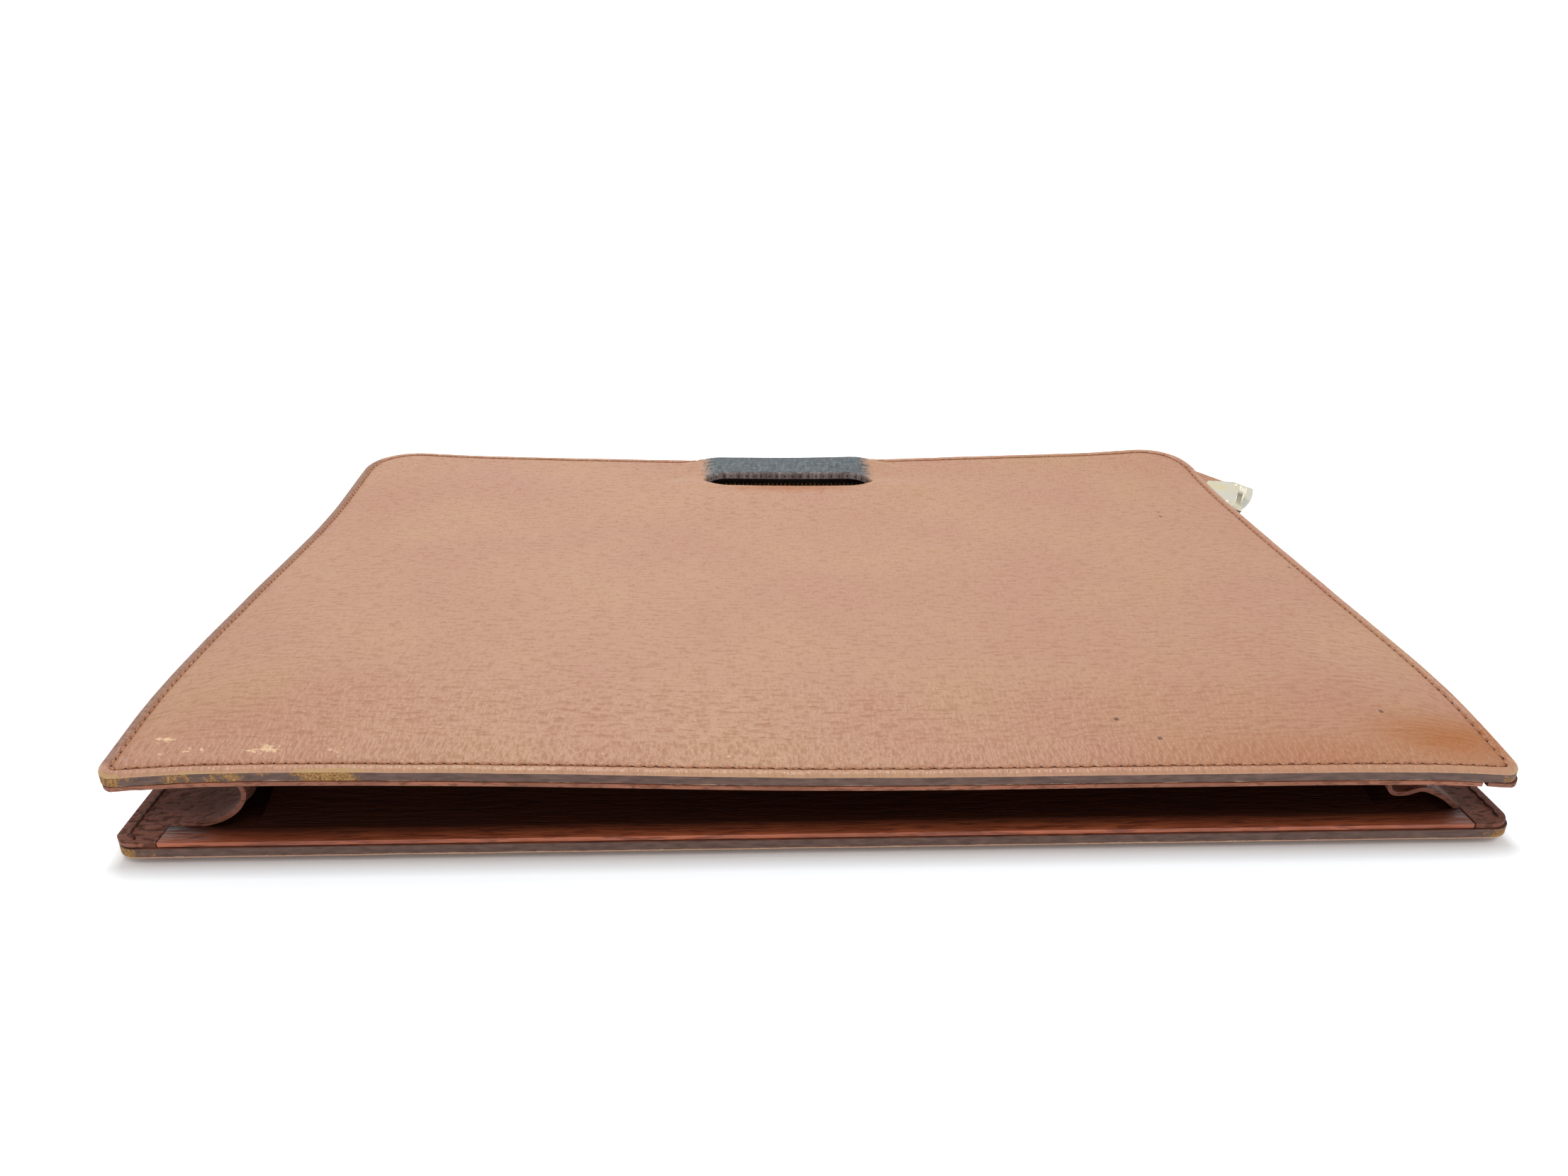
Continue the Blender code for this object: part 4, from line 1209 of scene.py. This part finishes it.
def end_tab():
    """The leather tab with its lock plate, staple and rivets."""
    corner = TAB_WIDTH / 8
    points = tab_outline(TAB_LENGTH, TAB_WIDTH, (0.0, corner), TAB_WIDTH - 2 * corner)
    bm = slab(points, -TAB_THICK, 0.0)
    marks = skin_marks(0.0, -HEIGHT / 4, 1.0, WORN_BACK)
    layers = {mark: bm.verts.layers.float.new(mark) for mark in marks}
    for vert in bm.verts:
        for mark, value in marks.items():
            vert[layers[mark]] = value
    for face in bm.faces:
        face.material_index = 0 if abs(face.normal.z) > 0.5 else 1
    tab = finished("end_tab_leather", bm, (CALF, EDGE), ("zip_end_tab",), 35)
    shaped(tab, (), TAB_ROUND)
    plate_end = TAB_LENGTH + GAP + PLATE_THICK
    plate_start = plate_end - PLATE_LENGTH
    top = GAP + PLATE_THICK
    shoulder = (plate_start, plate_start + PLATE_SHOULDER)
    folded = slab(tab_outline(plate_end, PLATE_WIDTH, shoulder, PLATE_NOSE), -TAB_THICK, top)
    plate = finished("lock_plate_metal", folded, (NICKEL,), ("lock_plate",), 35)
    # the room for the tab is cut out of the plate, from its underside to the tab's top
    room = tab_outline(TAB_LENGTH + GAP, 2 * PLATE_WIDTH, (-GAP, 0.0), 2 * PLATE_WIDTH)
    under = cutter(slab(room, -2 * TAB_THICK, GAP))
    shaped(plate, ((under, "DIFFERENCE"),), PLATE_ROUND)
    bpy.data.objects.remove(under)
    staple = lock_staple(plate_end - STAPLE_FROM_END, top)
    rivets = lock_rivets(plate_end - RIVET_FROM_END, (top, -TAB_THICK))
    for piece in (tab, plate, staple, *rivets):
        set_on_tab(piece)


def lock_rivets(reach, heights):
    """Two rivets, each with a domed head over the plate and one under the tab."""
    dome = Matrix.Diagonal((RIVET_RADIUS, RIVET_RADIUS, RIVET_HEAD, 1))
    rivets = []
    for index, side in enumerate((1, -1), 1):
        bm = bmesh.new()
        across = side * (PLATE_WIDTH / 2 - RIVET_INSET)
        for height in heights:
            placed = Matrix.Translation((reach, across, height)) @ dome
            bmesh.ops.create_uvsphere(bm, u_segments=20, v_segments=12, radius=1.0, matrix=placed)
        name, node = f"lock_rivet_head_{index}", f"lock_rivet_{index}"
        rivets.append(finished(name, bm, (NICKEL,), (node,)))
    return rivets


def lock_staple(reach, top):
    """A flat strap bent into a standing arch across the plate."""
    base = top + GAP
    steps = 14
    points = []
    for radius, way in ((STAPLE_SPAN / 2, 1), (STAPLE_SPAN / 2 - STAPLE_THICK, -1)):
        straight = base + STAPLE_HEIGHT - STAPLE_SPAN / 2
        arc = [math.pi * step / steps for step in range(steps + 1)][::way]
        points.append(Vector((0, way * radius, top - STAPLE_SUNK)))
        points += [
            Vector((0, radius * math.cos(angle), straight + radius * math.sin(angle))) for angle in arc
        ]
        points.append(Vector((0, -way * radius, top - STAPLE_SUNK)))
    bm = bmesh.new()
    face = bm.faces.new([bm.verts.new(point) for point in points])
    bmesh.ops.translate(bm, verts=bm.verts, vec=(reach - STAPLE_STRAP / 2, -STAPLE_SIDE, 0))
    risen(bm, [face], (STAPLE_STRAP, 0, 0))
    bmesh.ops.recalc_face_normals(bm, faces=bm.faces)
    staple = finished("lock_staple_strap", bm, (NICKEL,), ("lock_staple",), 35)
    return shaped(staple, (), STAPLE_ROUND)


# surroundings
def surroundings():
    """A pale paper floor that glows away from the bag, a bright horizon and two softboxes."""
    bm = bmesh.new()
    bmesh.ops.create_grid(bm, x_segments=2, y_segments=2, size=FLOOR_REACH)
    mesh = bpy.data.meshes.new("studio_floor")
    bm.to_mesh(mesh)
    bm.free()
    floor = bpy.data.objects.new("studio_floor", mesh)
    bpy.context.collection.objects.link(floor)
    paper, tree, shader = new_material(
        "white_paper_floor", Base_Color=linear("FAFCFD"), Roughness=0.8, Emission_Color=linear("F4FAFF"),
    )
    # how far a place lies past the bag's outline
    past = add_node(tree, "ShaderNodeVectorMath", {0: own_place(tree)}, operation="ABSOLUTE").outputs[0]
    for operation, amount in (("SUBTRACT", (WIDTH / 2, HEIGHT / 2, 0)), ("MAXIMUM", (0, 0, 0))):
        past = add_node(tree, "ShaderNodeVectorMath", {0: past, 1: amount}, operation=operation).outputs[0]
    apart = add_node(tree, "ShaderNodeVectorMath", {0: past}, operation="LENGTH").outputs["Value"]
    # painted light: the paper glows, and the glow is held back beside the bag so that a darker painted
    # contact shadow lies along its outline
    glow = ranged(tree, apart, 0.0, GLOW_RUN, 0.0, FLOOR_GLOW)
    tree.links.new(glow, shader.inputs["Emission Strength"])
    mesh.materials.append(paper)
    world = bpy.data.worlds.new("studio")
    bpy.context.scene.world = world
    world.use_nodes = True
    tree = world.node_tree
    way = add_node(tree, "ShaderNodeTexCoord").outputs["Generated"]
    height = add_node(tree, "ShaderNodeSeparateXYZ", {0: way}).outputs["Z"]
    strength = ranged(tree, height, HORIZON[0], ZENITH[0], HORIZON[1], ZENITH[1])
    tree.nodes["Background"].inputs["Color"].default_value = (1, 1, 1, 1)
    tree.links.new(strength, tree.nodes["Background"].inputs["Strength"])
    for name, place, size, power in SOFTBOXES:
        light = bpy.data.lights.new(name, "AREA")
        light.shape = "DISK"
        light.size = size
        light.energy = power
        item = bpy.data.objects.new(name, light)
        bpy.context.collection.objects.link(item)
        item.location = place
        item.rotation_euler = (-Vector(place)).to_track_quat("-Z", "Y").to_euler()


def camera():
    """The photograph's view of the bag."""
    pitch, yaw, roll = (math.radians(angle) for angle in (CAMERA_PITCH, CAMERA_YAW, CAMERA_ROLL))
    ahead = Vector((math.sin(yaw) * math.cos(pitch), math.cos(yaw) * math.cos(pitch), -math.sin(pitch)))
    right = Vector((math.cos(yaw), -math.sin(yaw), 0))
    down = ahead.cross(right)
    turned_right = right * math.cos(roll) + down * math.sin(roll)
    turned_down = down * math.cos(roll) - right * math.sin(roll)
    data = bpy.data.cameras.new("photo_camera")
    data.sensor_width = SENSOR
    data.lens = FOCAL / PHOTO_WIDTH * SENSOR
    data.clip_start = 0.01
    item = bpy.data.objects.new("photo_camera", data)
    bpy.context.collection.objects.link(item)
    axes = Matrix((turned_right, -turned_down, -ahead)).transposed()
    item.matrix_world = Matrix.Translation(CAMERA_AT) @ axes.to_4x4()
    bpy.context.scene.camera = item


panels()
GUIDE = outline_guide()
side_gusset(-1, FOLD_LEFT, LEFT_TOP_GAP, GUIDE)
side_gusset(1, FOLD_RIGHT, RIGHT_TOP_GAP, GUIDE)
bottom_gusset(GUIDE)
bpy.data.objects.remove(GUIDE)
zip_tapes()
zip_teeth()
zip_slider()
end_tab()
surroundings()
camera()
bpy.context.scene.view_settings.view_transform = "Standard"
